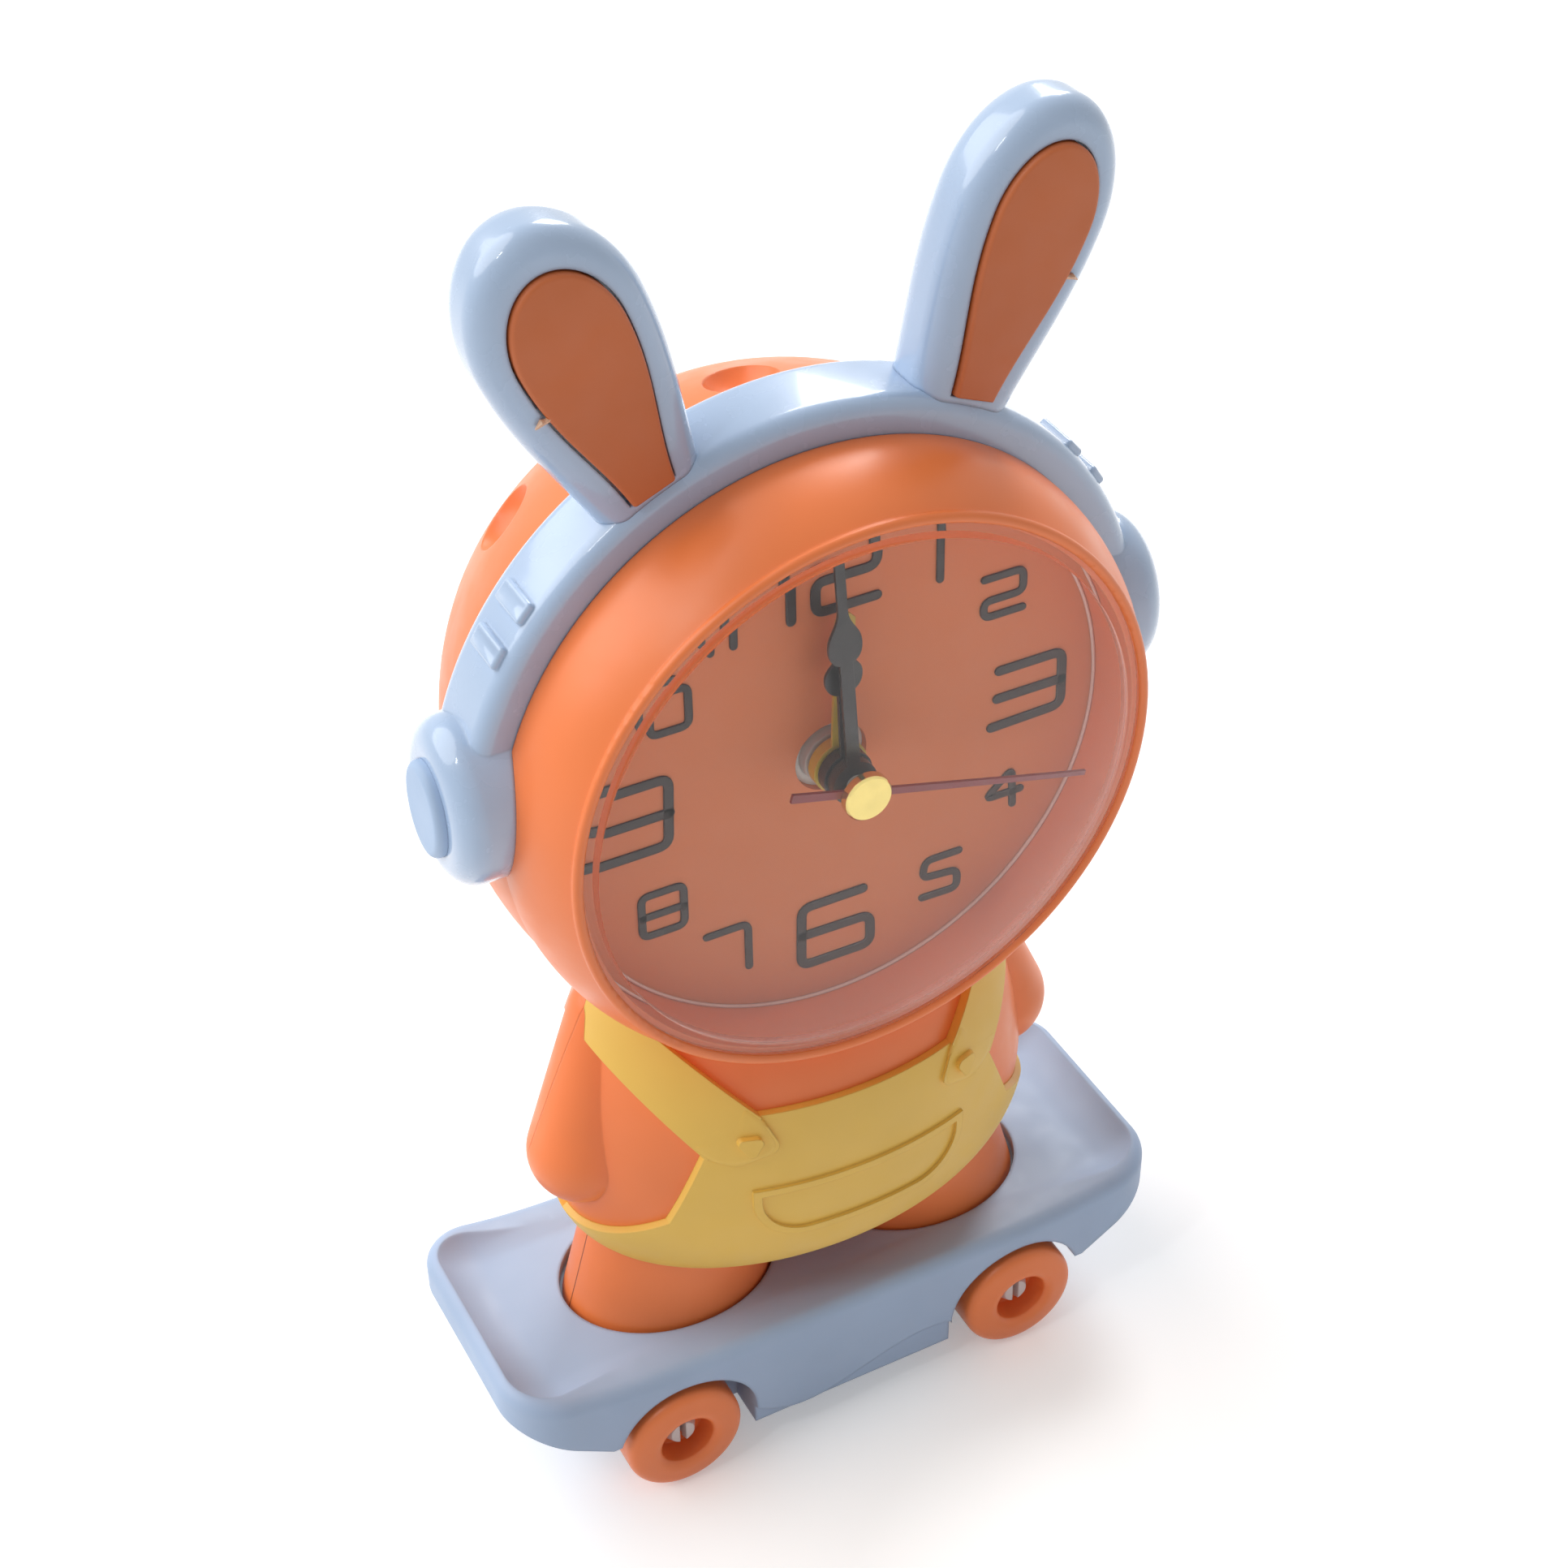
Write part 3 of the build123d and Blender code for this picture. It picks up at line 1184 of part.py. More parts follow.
def make_switch():
    """Alarm slide: a plate behind the back wall with a tab out through the slot."""
    plate_y = REAR_INNER_Y - FREE_GAP
    x = SWITCH_X - (SWITCH_SLOT - SWITCH_TAB) / 2 + FREE_GAP
    z = HEAD_Z + SWITCH_DZ
    plate = along_y(extrude(Rectangle(SWITCH_PLATE_W, SWITCH_PLATE_H), amount=SWITCH_PLATE_T), x, z, plate_y)
    depth = REAR_Y + SWITCH_TAB_OUT - plate_y
    tab = extrude(SlotOverall(SWITCH_TAB, SWITCH_SLOT_H - 2 * FREE_GAP), amount=depth)
    return plate + along_y(tab, x, z, plate_y + depth)


def make_buzzer():
    disc = extrude(Circle(BUZZER_R), amount=BUZZER_T - SEAT)
    return along_y(disc, BUZZER_X, HEAD_Z + BUZZER_DZ, REAR_INNER_Y - SEAT)


def build_nodes():
    nodes = {"deck": make_deck(), "base_cover": make_base_cover()}
    for x_name, sx in (("left", -1), ("right", 1)):
        nodes[f"{x_name}_axle"] = make_axle(sx)
        for y_name, sy in (("front", -1), ("rear", 1)):
            nodes[f"wheel_{y_name}_{x_name}"] = make_wheel(sx, sy)
    figure = figure_form()
    nodes["body_front"], nodes["body_rear"] = make_body(figure)
    nodes["overalls_front"], nodes["overalls_rear"] = make_overalls(figure)
    nodes["neck_ring"] = make_neck_ring()
    nodes["bezel"] = make_bezel()
    nodes["lens"] = make_lens()
    nodes["dial"] = make_dial()
    nodes["rear_shell"] = make_rear_shell()
    nodes["headband"], right_ear, right_insert = make_headset()
    right_cap = make_cup_cap()
    for name, shape in (("ear", right_ear), ("ear_insert", right_insert), ("cup_cap", right_cap)):
        nodes[f"right_{name}"] = shape
        nodes[f"left_{name}"] = mirrored(shape)
    nodes["movement_plate"] = make_movement_plate()
    nodes["movement_case"] = make_movement_case()
    nodes["quartz_unit"] = make_quartz_unit()
    nodes["centre_bush"] = make_bush()
    nodes["alarm_wheel"] = pipe_wheel(ALARM_TEETH, ALARM_LAYER, ALARM_PIPE_R, ALARM_HAND_Y - HAND_T)
    nodes["hour_wheel"] = pipe_wheel(HOUR_TEETH, HOUR_LAYER, HOUR_PIPE_R, HOUR_HAND_Y - HAND_T)
    nodes["minute_wheel"] = pipe_wheel(MINUTE_TEETH, MINUTE_LAYER, MINUTE_PIPE_R, MINUTE_HAND_Y - HAND_T)
    nodes["motion_wheel"] = make_motion_wheel()
    nodes["alarm_idler"] = make_idler()
    nodes["time_arbor"] = make_arbor(-KNOB_X, TIME_TEETH, TIME_PHASE, MINUTE_LAYER)
    nodes["alarm_arbor"] = make_arbor(KNOB_X, ALARM_TEETH, ALARM_SET_PHASE, ALARM_LAYER)
    nodes["time_knob"] = make_knob(-KNOB_X)
    nodes["alarm_knob"] = make_knob(KNOB_X)
    nodes["second_arbor"] = make_second_arbor()
    nodes["alarm_hand"] = make_alarm_hand()
    nodes["hour_hand"] = make_hour_hand()
    nodes["minute_hand"] = make_minute_hand()
    nodes["second_hand"] = make_second_hand()
    nodes["second_cap"] = make_second_cap()
    nodes["aa_cell"] = make_cell()
    nodes["flat_contact"] = make_flat_contact()
    nodes["spring_contact"] = make_spring_contact()
    nodes["battery_door"] = make_battery_door()
    nodes["alarm_switch"] = make_switch()
    nodes["buzzer"] = make_buzzer()
    return nodes


if __name__ == "__main__":
    os.makedirs("parts", exist_ok=True)
    for name, shape in build_nodes().items():
        export_step(shape, f"parts/{name}.step")
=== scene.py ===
import math

import bmesh
import bpy
import numpy as np
from mathutils import Matrix, Vector
from mathutils.bvhtree import BVHTree


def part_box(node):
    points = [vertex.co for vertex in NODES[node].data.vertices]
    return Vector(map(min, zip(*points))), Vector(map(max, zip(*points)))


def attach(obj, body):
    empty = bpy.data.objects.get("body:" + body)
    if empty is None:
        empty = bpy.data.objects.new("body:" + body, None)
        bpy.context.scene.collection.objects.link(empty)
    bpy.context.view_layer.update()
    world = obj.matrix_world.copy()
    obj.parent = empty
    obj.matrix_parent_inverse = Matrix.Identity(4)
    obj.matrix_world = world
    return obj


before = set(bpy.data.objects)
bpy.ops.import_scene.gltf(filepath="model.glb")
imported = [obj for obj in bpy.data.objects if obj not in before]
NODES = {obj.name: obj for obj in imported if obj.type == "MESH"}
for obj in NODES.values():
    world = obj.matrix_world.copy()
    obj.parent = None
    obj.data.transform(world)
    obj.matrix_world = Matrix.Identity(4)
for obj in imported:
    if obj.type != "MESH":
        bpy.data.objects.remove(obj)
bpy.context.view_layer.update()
MM = 0.001

# Camera of the photograph: place in millimetres, angles in degrees
CAMERA_PLACE = (-124.143, -238.267, 309.861)
CAMERA_TURN = -27.475
CAMERA_TILT = 51.514
CAMERA_ROLL = -0.773
CAMERA_LENS = 64.92
SENSOR = 36.0
NEAREST = 0.01

# Colours, linear
BLUE = (0.42, 0.55, 0.75)
DECK = (0.395, 0.505, 0.69)
ORANGE = (0.92, 0.225, 0.060)
LINING = (0.60, 0.150, 0.042)
FLAKE = (0.80, 0.50, 0.33)
YELLOW = (0.84, 0.53, 0.095)
DIAL = (0.76, 0.215, 0.070)
# Pale colour of the ring round the dial: a painted highlight for the glint along the dial's edge
RIM_HIGHLIGHT = (0.80, 0.50, 0.42)
INK = (0.020, 0.013, 0.013)
BLACK = (0.008, 0.010, 0.013)
RED = (0.26, 0.012, 0.018)
ALARM_YELLOW = (0.62, 0.42, 0.012)
GILT = (0.80, 0.67, 0.23)
STEEL = (0.62, 0.62, 0.63)
# Axle grey: its pink tint is a painted reflection of the orange wheels and body round the axles
GREY_WITH_PAINTED_BOUNCE = (0.72, 0.66, 0.65)
WHITE = (0.74, 0.73, 0.69)
BUSH = (0.56, 0.50, 0.47)
CELL = (0.035, 0.05, 0.055)

# Surface of every finish: detail and range of the noise, depth of the grain in millimetres
NOISE_DETAIL = 3.0
NOISE_LOW = 0.3
NOISE_HIGH = 0.7
GRAIN_DETAIL = 2.0
GRAIN_DEPTH = 0.02
BEVEL_SAMPLES = 6

# Clear lens: tint, refraction, greatest roughness and how fine its patches are
LENS_TINT = (0.985, 0.965, 0.955)
LENS_IOR = 1.31
LENS_HAZE = 0.03
HAZE_SCALE = 60.0

# Smooth shading: greatest angle in degrees, gap that is closed in metres
SMOOTH_ANGLE = 28
MERGE_GAP = 1e-6

# Parting line low on the legs: half widths of its core and its faded edge, its upper end and its fade
LINE_CORE = 0.06
LINE_EDGE = 0.16
LINE_DARK = 0.45
LINE_TOP = 36.0
LINE_FADE = 8.0

# Grey hub of the second hand, with the share of its radius over which it ends
HUB_R = 1.6
HUB_EDGE = 0.02

# Dial numbers, in millimetres from the hand axis: text, left, low, width, height, pen
LARGE_PEN = 1.22
SMALL_PEN = 0.95
NUMBERS = [
    ("12", -5.6, 20.5, 11.4, 9.6, LARGE_PEN),
    ("1", 13.4, 19.9, 1.0, 5.9, SMALL_PEN),
    ("2", 19.7, 12.5, 5.2, 5.3, SMALL_PEN),
    ("3", 21.6, -3.6, 9.0, 7.9, LARGE_PEN),
    ("4", 20.6, -15.9, 4.8, 5.2, SMALL_PEN),
    ("5", 12.1, -26.0, 5.0, 5.7, SMALL_PEN),
    ("6", -4.3, -29.8, 9.3, 8.7, LARGE_PEN),
    ("7", -16.6, -26.9, 5.4, 6.5, SMALL_PEN),
    ("8", -24.7, -17.2, 5.4, 5.9, SMALL_PEN),
    ("9", -30.0, -4.8, 9.4, 9.4, LARGE_PEN),
    ("10", -25.4, 11.0, 7.6, 5.3, SMALL_PEN),
    ("11", -15.4, 19.6, 4.0, 5.6, SMALL_PEN),
]
INK_T = 0.22
DIGIT_GAP = 2.0
DIGIT_ROUND = 1.1
DIGIT_STEPS = 5
PEN_END_STEPS = 6

# Strokes of the squared digits in a unit box; a stroke that ends where it starts is closed
SQUARE = [(0, 0), (1, 0), (1, 1), (0, 1), (0, 0)]
DIGITS = {
    "0": [SQUARE],
    "1": [[(0.5, 0), (0.5, 1)]],
    "2": [[(0, 1), (1, 1), (1, 0.42), (0, 0.42), (0, 0), (1, 0)]],
    "3": [[(0.05, 1), (1, 1), (1, 0.03), (-0.05, 0)], [(0.03, 0.5), (1, 0.5)]],
    "4": [[(0.78, 0), (0.75, 1), (0, 0.37), (1, 0.37)]],
    "5": [[(1, 1), (0.08, 1), (0, 0.57), (0.96, 0.5), (0.95, 0.03), (0, 0.05)]],
    "6": [[(0.9, 1), (0.02, 1), (0, 0), (1, 0), (1, 0.5), (0.02, 0.52)]],
    "7": [[(0, 1), (1, 1), (1, 0)]],
    "8": [SQUARE, [(0, 0.48), (1, 0.48)]],
    "9": [[(1, 0.48), (0.04, 0.48), (0.04, 1), (1, 1), (0.97, 0), (0, 0)]],
}

# Pale glossy ring in the corner between the dial and the wall round it; its pale colour is a painted
# highlight for the glint along the dial's edge
RIM_R = 34.95
RIM_TUBE = 0.24
RIM_STEPS = 160
RIM_SIDES = 8

# Broken-off moulding stub at the outer edge of an ear insert: rings by way out, radius and lift
STUB_PLACE = Vector((31.0, -8.4, 161.0))
STUB_RINGS = [
    (-0.5, 0.42, 0.0),
    (0.35, 0.34, 0.0),
    (0.75, 0.46, 0.12),
    (1.15, 0.26, -0.1),
    (1.4, 0.12, -0.22),
]
STUB_SIDES = 9
STUB_LOBES = 5
STUB_RIPPLE = 0.25
STUB_DROOP = 0.35
STUB_FLATNESS = 0.8

# Smooth end of a shoulder strap: corners with their radii, rings by share of the outline and rise
PAD_CENTRE = Vector((16.3, 58.7))
INNER_CORNER = (13.5, 61.9)
OUTER_CORNER = (20.4, 56.2)
PAD_CORNERS = [
    ((15.2, 63.7), 0.3),
    (INNER_CORNER, 1.2),
    ((11.3, 56.6), 2.2),
    ((17.0, 54.7), 2.2),
    (OUTER_CORNER, 1.2),
    ((21.9, 58.2), 0.3),
]
PAD_STEPS = 6
PAD_RINGS = [(0.45, 0.06), (0.80, 0.06), (0.93, 0.02), (1.0, -0.16), (1.0, -1.0)]

# Samples for the fit of a strap's face: shares of the pad's outline, then along and across the strap
PAD_SHARES = (0.35, 0.5, 0.65, 0.8, 0.92)
STRAP_EDGES = [(INNER_CORNER, (26.2, 75.5)), (OUTER_CORNER, (29.5, 68.5))]
STRAP_ALONG = (0.05, 0.12, 0.2, 0.3, 0.4)
STRAP_ACROSS = (0.1, 0.2, 0.35, 0.5, 0.65, 0.8, 0.9)
BUTTON = Vector((15.4, 58.4))
BUTTON_CLEAR = 2.5
RAY_START_Y = -100
FIT_ROUNDS = 4
FIT_SLACK = 0.12

# Screws: pan head with its profile in shares of radius and height, cross recess, places
SCREW_R = 1.7
SCREW_H = 0.9
SCREW_PROFILE = [(0, 1), (0.55, 0.96), (0.85, 0.75), (1, 0.3), (1, 0), (0, 0)]
SCREW_SIDES = 32
CROSS_W = 0.5
CROSS_L = 1.9
CROSS_DEPTH = 0.6
POST_X = 9.0
POST_Y = 11.0
BACK_SCREWS = [(-21.5, 16.5), (21.5, 16.5), (0.0, -27.0)]

# Raised signs on the back: a turn arrow over each knob and an arrow on the door, angles in degrees
SIGN_RISE = 0.25
SIGN_SINK = 0.02
ARROW_SPREAD = 0.7
KNOB_X = 10.5
KNOB_DZ = 16.8
TURN_R = 6.9
TURN_W = 0.6
TURN_FROM = 30
TURN_TO = 125
TURN_STEPS = 12
TURN_TIP = 24
TURN_TIP_SHIFT = Vector((0.55, -1.0))
TURN_HEAD = 1.7
DOOR_TIP = 2.4
DOOR_HEAD = 4.0

# Floor and light, with lengths in metres
FLOOR_SIZE = 6.0
FLOOR_DROP = 0.0002
FLOOR_TONE = 0.92
FLOOR_DRIFT = 0.01
FLOOR_NOISE = 3.0
FLOOR_LIFT = 0.28
SKY_LEVEL = 0.33
LAMP_AIM = Vector((0, 0, 0.09))
LAMPS = {
    "overhead": ("SUN", (-0.8, 0.55, 1.0), {"energy": 2.15, "angle": 1.1}),
    "window": ("AREA", (-0.71, -0.24, 1.04),
               {"energy": 0.9, "shape": "RECTANGLE", "size": 0.05, "size_y": 0.22}),
    "back_panel": ("AREA", (0.62, 0.70, 0.85), {"energy": 6.5, "size": 0.45}),
}


def hand_axis():
    """Place of the hand axis on the front of the dial, in millimetres."""
    low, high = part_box("dial")
    return (low[0] + high[0]) / 2 / MM, low[1] / MM, (low[2] + high[2]) / 2 / MM


# Materials

def new_material(name):
    """New node material with its shader ready."""
    material = bpy.data.materials.new(name)
    material.use_nodes = True
    return material, material.node_tree, material.node_tree.nodes["Principled BSDF"]


def add(tree, kind, **settings):
    """New node with its settings."""
    node = tree.nodes.new(kind)
    for key, value in settings.items():
        setattr(node, key, value)
    return node


def object_coords(tree):
    """Coordinates that stay with the piece."""
    return add(tree, "ShaderNodeTexCoord").outputs["Object"]


def maths(tree, operation, *values):
    """Result of a calculation on one or two sockets."""
    node = add(tree, "ShaderNodeMath", operation=operation)
    for value, socket in zip(values, node.inputs):
        tree.links.new(value, socket)
    return node.outputs[0]


def map_range(tree, value, start, end, low=0.0, high=1.0):
    """Map the range from start to end onto the one from low to high."""
    node = add(tree, "ShaderNodeMapRange")
    for key, number in (("From Min", start), ("From Max", end), ("To Min", low), ("To Max", high)):
        node.inputs[key].default_value = number
    tree.links.new(value, node.inputs["Value"])
    return node.outputs["Result"]


def noise(tree, coords, scale, detail=NOISE_DETAIL):
    """Noise value of a given fineness."""
    texture = add(tree, "ShaderNodeTexNoise")
    texture.inputs["Scale"].default_value = scale
    texture.inputs["Detail"].default_value = detail
    tree.links.new(coords, texture.inputs["Vector"])
    return texture.outputs["Fac"]


def spread_noise(tree, coords, scale, low, high):
    """Noise spread over a range."""
    return map_range(tree, noise(tree, coords, scale), NOISE_LOW, NOISE_HIGH, low, high)


def tinted(tree, value, colour, share):
    """Colour that drifts by a share either side of its mean."""
    mix = add(tree, "ShaderNodeMix", data_type="RGBA")
    mix.inputs["A"].default_value = (*[c * (1 - share) for c in colour], 1)
    mix.inputs["B"].default_value = (*[min(1, c * (1 + share)) for c in colour], 1)
    tree.links.new(value, mix.inputs["Factor"])
    return mix.outputs["Result"]


def drifting(name, colour, rough, drift, drift_scale, rough_share, rough_scale):
    """Material whose tone and roughness drift over the surface."""
    material, tree, shader = new_material(name)
    coords = object_coords(tree)
    slow = spread_noise(tree, coords, drift_scale, 0, 1)
    tree.links.new(tinted(tree, slow, colour, drift), shader.inputs["Base Color"])
    patches = spread_noise(tree, coords, rough_scale, rough * (1 - rough_share), rough * (1 + rough_share))
    tree.links.new(patches, shader.inputs["Roughness"])
    return material


def add_skin(material, soft_edge, grain, grain_scale):
    """Softened edges and a fine surface grain."""
    tree = material.node_tree
    bevel = add(tree, "ShaderNodeBevel", samples=BEVEL_SAMPLES)
    bevel.inputs["Radius"].default_value = soft_edge * MM
    bump = add(tree, "ShaderNodeBump")
    bump.inputs["Strength"].default_value = grain
    bump.inputs["Distance"].default_value = GRAIN_DEPTH * MM
    tree.links.new(noise(tree, object_coords(tree), grain_scale, GRAIN_DETAIL), bump.inputs["Height"])
    tree.links.new(bevel.outputs["Normal"], bump.inputs["Normal"])
    tree.links.new(bump.outputs["Normal"], tree.nodes["Principled BSDF"].inputs["Normal"])


def add_coat(material, weight, rough):
    """Clear gloss over a finish."""
    shader = material.node_tree.nodes["Principled BSDF"]
    shader.inputs["Coat Weight"].default_value = weight
    shader.inputs["Coat Roughness"].default_value = rough


def moulded(name, colour, rough, grain=0.10, soft_edge=0.35, coat=0.0, drift=0.05):
    """Moulded plastic: slow drift of tone, fine skin grain and softened edges."""
    material = drifting(name, colour, rough, drift, drift_scale=45.0,
                        rough_share=0.14, rough_scale=240.0)
    add_skin(material, soft_edge, grain, grain_scale=5200.0)
    add_coat(material, coat, rough=0.08)
    return material


def painted(name, colour, rough):
    """Thin painted metal with a faint drift of tone."""
    material = drifting(name, colour, rough, drift=0.12, drift_scale=160.0,
                        rough_share=0.2, rough_scale=900.0)
    add_skin(material, soft_edge=0.15, grain=0.06, grain_scale=2400.0)
    add_coat(material, weight=0.3, rough=0.2)
    return material


def metal(name, colour, rough):
    """Polished or bright metal with fine wear."""
    material = drifting(name, colour, rough, drift=0.06, drift_scale=300.0,
                        rough_share=0.3, rough_scale=2500.0)
    add_skin(material, soft_edge=0.2, grain=0.04, grain_scale=3000.0)
    material.node_tree.nodes["Principled BSDF"].inputs["Metallic"].default_value = 1.0
    return material


def clear(name):
    """Clear plastic that lets lamp light through to the dial."""
    material, tree, shader = new_material(name)
    shader.inputs["Base Color"].default_value = (*LENS_TINT, 1)
    shader.inputs["Transmission Weight"].default_value = 1.0
    shader.inputs["IOR"].default_value = LENS_IOR
    haze = spread_noise(tree, object_coords(tree), HAZE_SCALE, 0.0, LENS_HAZE)
    tree.links.new(haze, shader.inputs["Roughness"])
    path = add(tree, "ShaderNodeLightPath").outputs
    lit = maths(tree, "MAXIMUM", path["Is Shadow Ray"], path["Is Diffuse Ray"])
    through = add(tree, "ShaderNodeBsdfTransparent")
    mix = add(tree, "ShaderNodeMixShader")
    tree.links.new(lit, mix.inputs["Fac"])
    tree.links.new(shader.outputs["BSDF"], mix.inputs[1])
    tree.links.new(through.outputs["BSDF"], mix.inputs[2])
    tree.links.new(mix.outputs["Shader"], tree.nodes["Material Output"].inputs["Surface"])
    return material


def add_parting_line(material):
    """Darken the mould parting line at y = 0 of a plastic, low down on the legs."""
    tree = material.node_tree
    base = tree.nodes["Principled BSDF"].inputs["Base Color"]
    split = add(tree, "ShaderNodeSeparateXYZ")
    tree.links.new(object_coords(tree), split.inputs["Vector"])
    away = maths(tree, "ABSOLUTE", split.outputs["Y"])
    fade = map_range(tree, away, LINE_CORE * MM, LINE_EDGE * MM, LINE_DARK, 1.0)
    above = map_range(tree, split.outputs["Z"], LINE_TOP * MM, (LINE_TOP + LINE_FADE) * MM)
    darker = add(tree, "ShaderNodeMix", data_type="RGBA", blend_type="MULTIPLY")
    darker.inputs["Factor"].default_value = 1.0
    tree.links.new(base.links[0].from_socket, darker.inputs["A"])
    tree.links.new(maths(tree, "MAXIMUM", fade, above), darker.inputs["B"])
    tree.links.new(darker.outputs["Result"], base)
    return material


def add_hub(material, colour):
    """Give the part of a hand near its axis the colour of its pressed-in hub."""
    tree = material.node_tree
    base = tree.nodes["Principled BSDF"].inputs["Base Color"]
    axis_x, _, axis_z = hand_axis()
    offset = add(tree, "ShaderNodeVectorMath", operation="SUBTRACT")
    offset.inputs[1].default_value = (axis_x * MM, 0, axis_z * MM)
    tree.links.new(object_coords(tree), offset.inputs[0])
    flat = add(tree, "ShaderNodeVectorMath", operation="MULTIPLY")
    flat.inputs[1].default_value = (1, 0, 1)
    tree.links.new(offset.outputs["Vector"], flat.inputs[0])
    away = add(tree, "ShaderNodeVectorMath", operation="LENGTH")
    tree.links.new(flat.outputs["Vector"], away.inputs[0])
    start, end = HUB_R * (1 - HUB_EDGE) * MM, HUB_R * (1 + HUB_EDGE) * MM
    mix = add(tree, "ShaderNodeMix", data_type="RGBA")
    mix.inputs["A"].default_value = (*colour, 1)
    tree.links.new(map_range(tree, away.outputs["Value"], start, end), mix.inputs["Factor"])
    tree.links.new(base.links[0].from_socket, mix.inputs["B"])
    tree.links.new(mix.outputs["Result"], base)
    return material


MATERIALS = {
    "blue": moulded("blue_gloss", BLUE, 0.26, grain=0.05, soft_edge=0.6, coat=0.8),
    "cap": moulded("blue_cap", BLUE, 0.52, grain=0.10, soft_edge=0.6),
    "deck": moulded("blue_satin", DECK, 0.52, grain=0.16, soft_edge=0.8),
    "orange": moulded("orange_satin", ORANGE, 0.36, grain=0.10, soft_edge=0.4),
    "body": add_parting_line(moulded("orange_body", ORANGE, 0.40, grain=0.12, soft_edge=0.4)),
    "lining": moulded("lining_matt", LINING, 0.50, grain=0.18, soft_edge=0.3),
    "yellow": moulded("yellow_satin", YELLOW, 0.44, grain=0.12, soft_edge=0.25),
    "flake": moulded("gate_flake", FLAKE, 0.40, grain=0.10, soft_edge=0.1),
    "dial": moulded("dial_card", DIAL, 0.55, grain=0.012, soft_edge=0.1, drift=0.02),
    # Ring round the dial: its pale glossy colour is a painted highlight along the dial's edge
    "painted_highlight_rim": moulded("painted_highlight_rim", RIM_HIGHLIGHT, 0.20, grain=0.02, soft_edge=0.05, coat=0.6),
    "ink": moulded("dial_ink", INK, 0.42, grain=0.05, soft_edge=0.30, drift=0.10),
    # Grey axle nylon with a pink tint that paints the orange light bounced onto it
    "grey_painted_bounce": moulded("grey_nylon_painted_bounce", GREY_WITH_PAINTED_BOUNCE, 0.38),
    "white": moulded("white_acetal", WHITE, 0.40),
    "bush": moulded("bush_nylon", BUSH, 0.45),
    "black_plastic": moulded("black_plastic", BLACK, 0.38, grain=0.15),
    "black": painted("black_hand", BLACK, 0.38),
    "red": add_hub(painted("red_hand", RED, 0.35), STEEL),
    "alarm": painted("yellow_hand", ALARM_YELLOW, 0.4),
    "cell": painted("cell_jacket", CELL, 0.3),
    "gilt": metal("gilt_polished", GILT, 0.16),
    "steel": metal("bright_steel", STEEL, 0.25),
    "lens": clear("clear_lens"),
}
FINISH = {
    "blue": ["headband", "right_ear", "left_ear"],
    "cap": ["right_cup_cap", "left_cup_cap"],
    "deck": ["deck", "base_cover"],
    "orange": ["wheel_front_left", "wheel_rear_left", "wheel_front_right", "wheel_rear_right",
               "bezel", "rear_shell", "battery_door", "neck_ring"],
    "body": ["body_front", "body_rear"],
    "lining": ["right_ear_insert", "left_ear_insert"],
    "yellow": ["overalls_front", "overalls_rear"],
    "dial": ["dial"],
    "lens": ["lens"],
    "grey_painted_bounce": ["left_axle", "right_axle"],
    "white": ["movement_plate", "movement_case", "quartz_unit", "alarm_wheel", "hour_wheel", "minute_wheel",
              "motion_wheel", "alarm_idler", "time_arbor", "alarm_arbor"],
    "bush": ["centre_bush"],
    "black_plastic": ["time_knob", "alarm_knob", "alarm_switch"],
    "black": ["hour_hand", "minute_hand"],
    "alarm": ["alarm_hand"],
    "red": ["second_hand"],
    "gilt": ["second_cap", "buzzer"],
    "steel": ["second_arbor", "flat_contact", "spring_contact"],
    "cell": ["aa_cell"],
}


# Dress of the CAD nodes

def smoothing_group(name, keep_normals):
    """Modifier group that joins split facets and shades them smooth up to an angle."""
    group = bpy.data.node_groups.new(name, "GeometryNodeTree")
    for way in ("INPUT", "OUTPUT"):
        group.interface.new_socket("Geometry", in_out=way, socket_type="NodeSocketGeometry")
    merge = add(group, "GeometryNodeMergeByDistance")
    merge.inputs["Distance"].default_value = MERGE_GAP
    smooth = add(group, "GeometryNodeSetShadeSmooth")
    edge = add(group, "GeometryNodeInputMeshEdgeAngle")
    above = add(group, "FunctionNodeCompare", operation="GREATER_THAN")
    above.inputs["B"].default_value = math.radians(SMOOTH_ANGLE)
    group.links.new(edge.outputs["Unsigned Angle"], above.inputs["A"])
    sharp = add(group, "GeometryNodeSetShadeSmooth", domain="EDGE")
    sharp.inputs["Shade Smooth"].default_value = False
    group.links.new(above.outputs["Result"], sharp.inputs["Selection"])
    steps = [merge, smooth, sharp]
    if not keep_normals:
        fresh = add(group, "GeometryNodeRemoveAttribute")
        fresh.inputs["Name"].default_value = "custom_normal"
        steps.append(fresh)
    flow = add(group, "NodeGroupInput").outputs[0]
    for step in steps:
        group.links.new(flow, step.inputs["Geometry"])
        flow = step.outputs["Geometry"]
    group.links.new(flow, add(group, "NodeGroupOutput").inputs[0])
    return group


def dress_nodes():
    """Give every CAD node its finish and smooth shading; the poles of the lens get fresh normals."""
    group = smoothing_group("smooth_facets", True)
    fresh_group = smoothing_group("fresh_normals", False)
    for finish, names in FINISH.items():
        for name in names:
            node = NODES[name]
            node.data.materials.clear()
            node.data.materials.append(MATERIALS[finish])
            modifier = node.modifiers.new("smooth_facets", "NODES")
            modifier.node_group = fresh_group if name == "lens" else group


# Tools for the added pieces

def finished(mesh, name):
    """Mesh data from a bmesh, with its faces turned outwards."""
    bmesh.ops.recalc_face_normals(mesh, faces=mesh.faces)
    data = bpy.data.meshes.new(name)
    mesh.to_mesh(data)
    mesh.free()
    return data


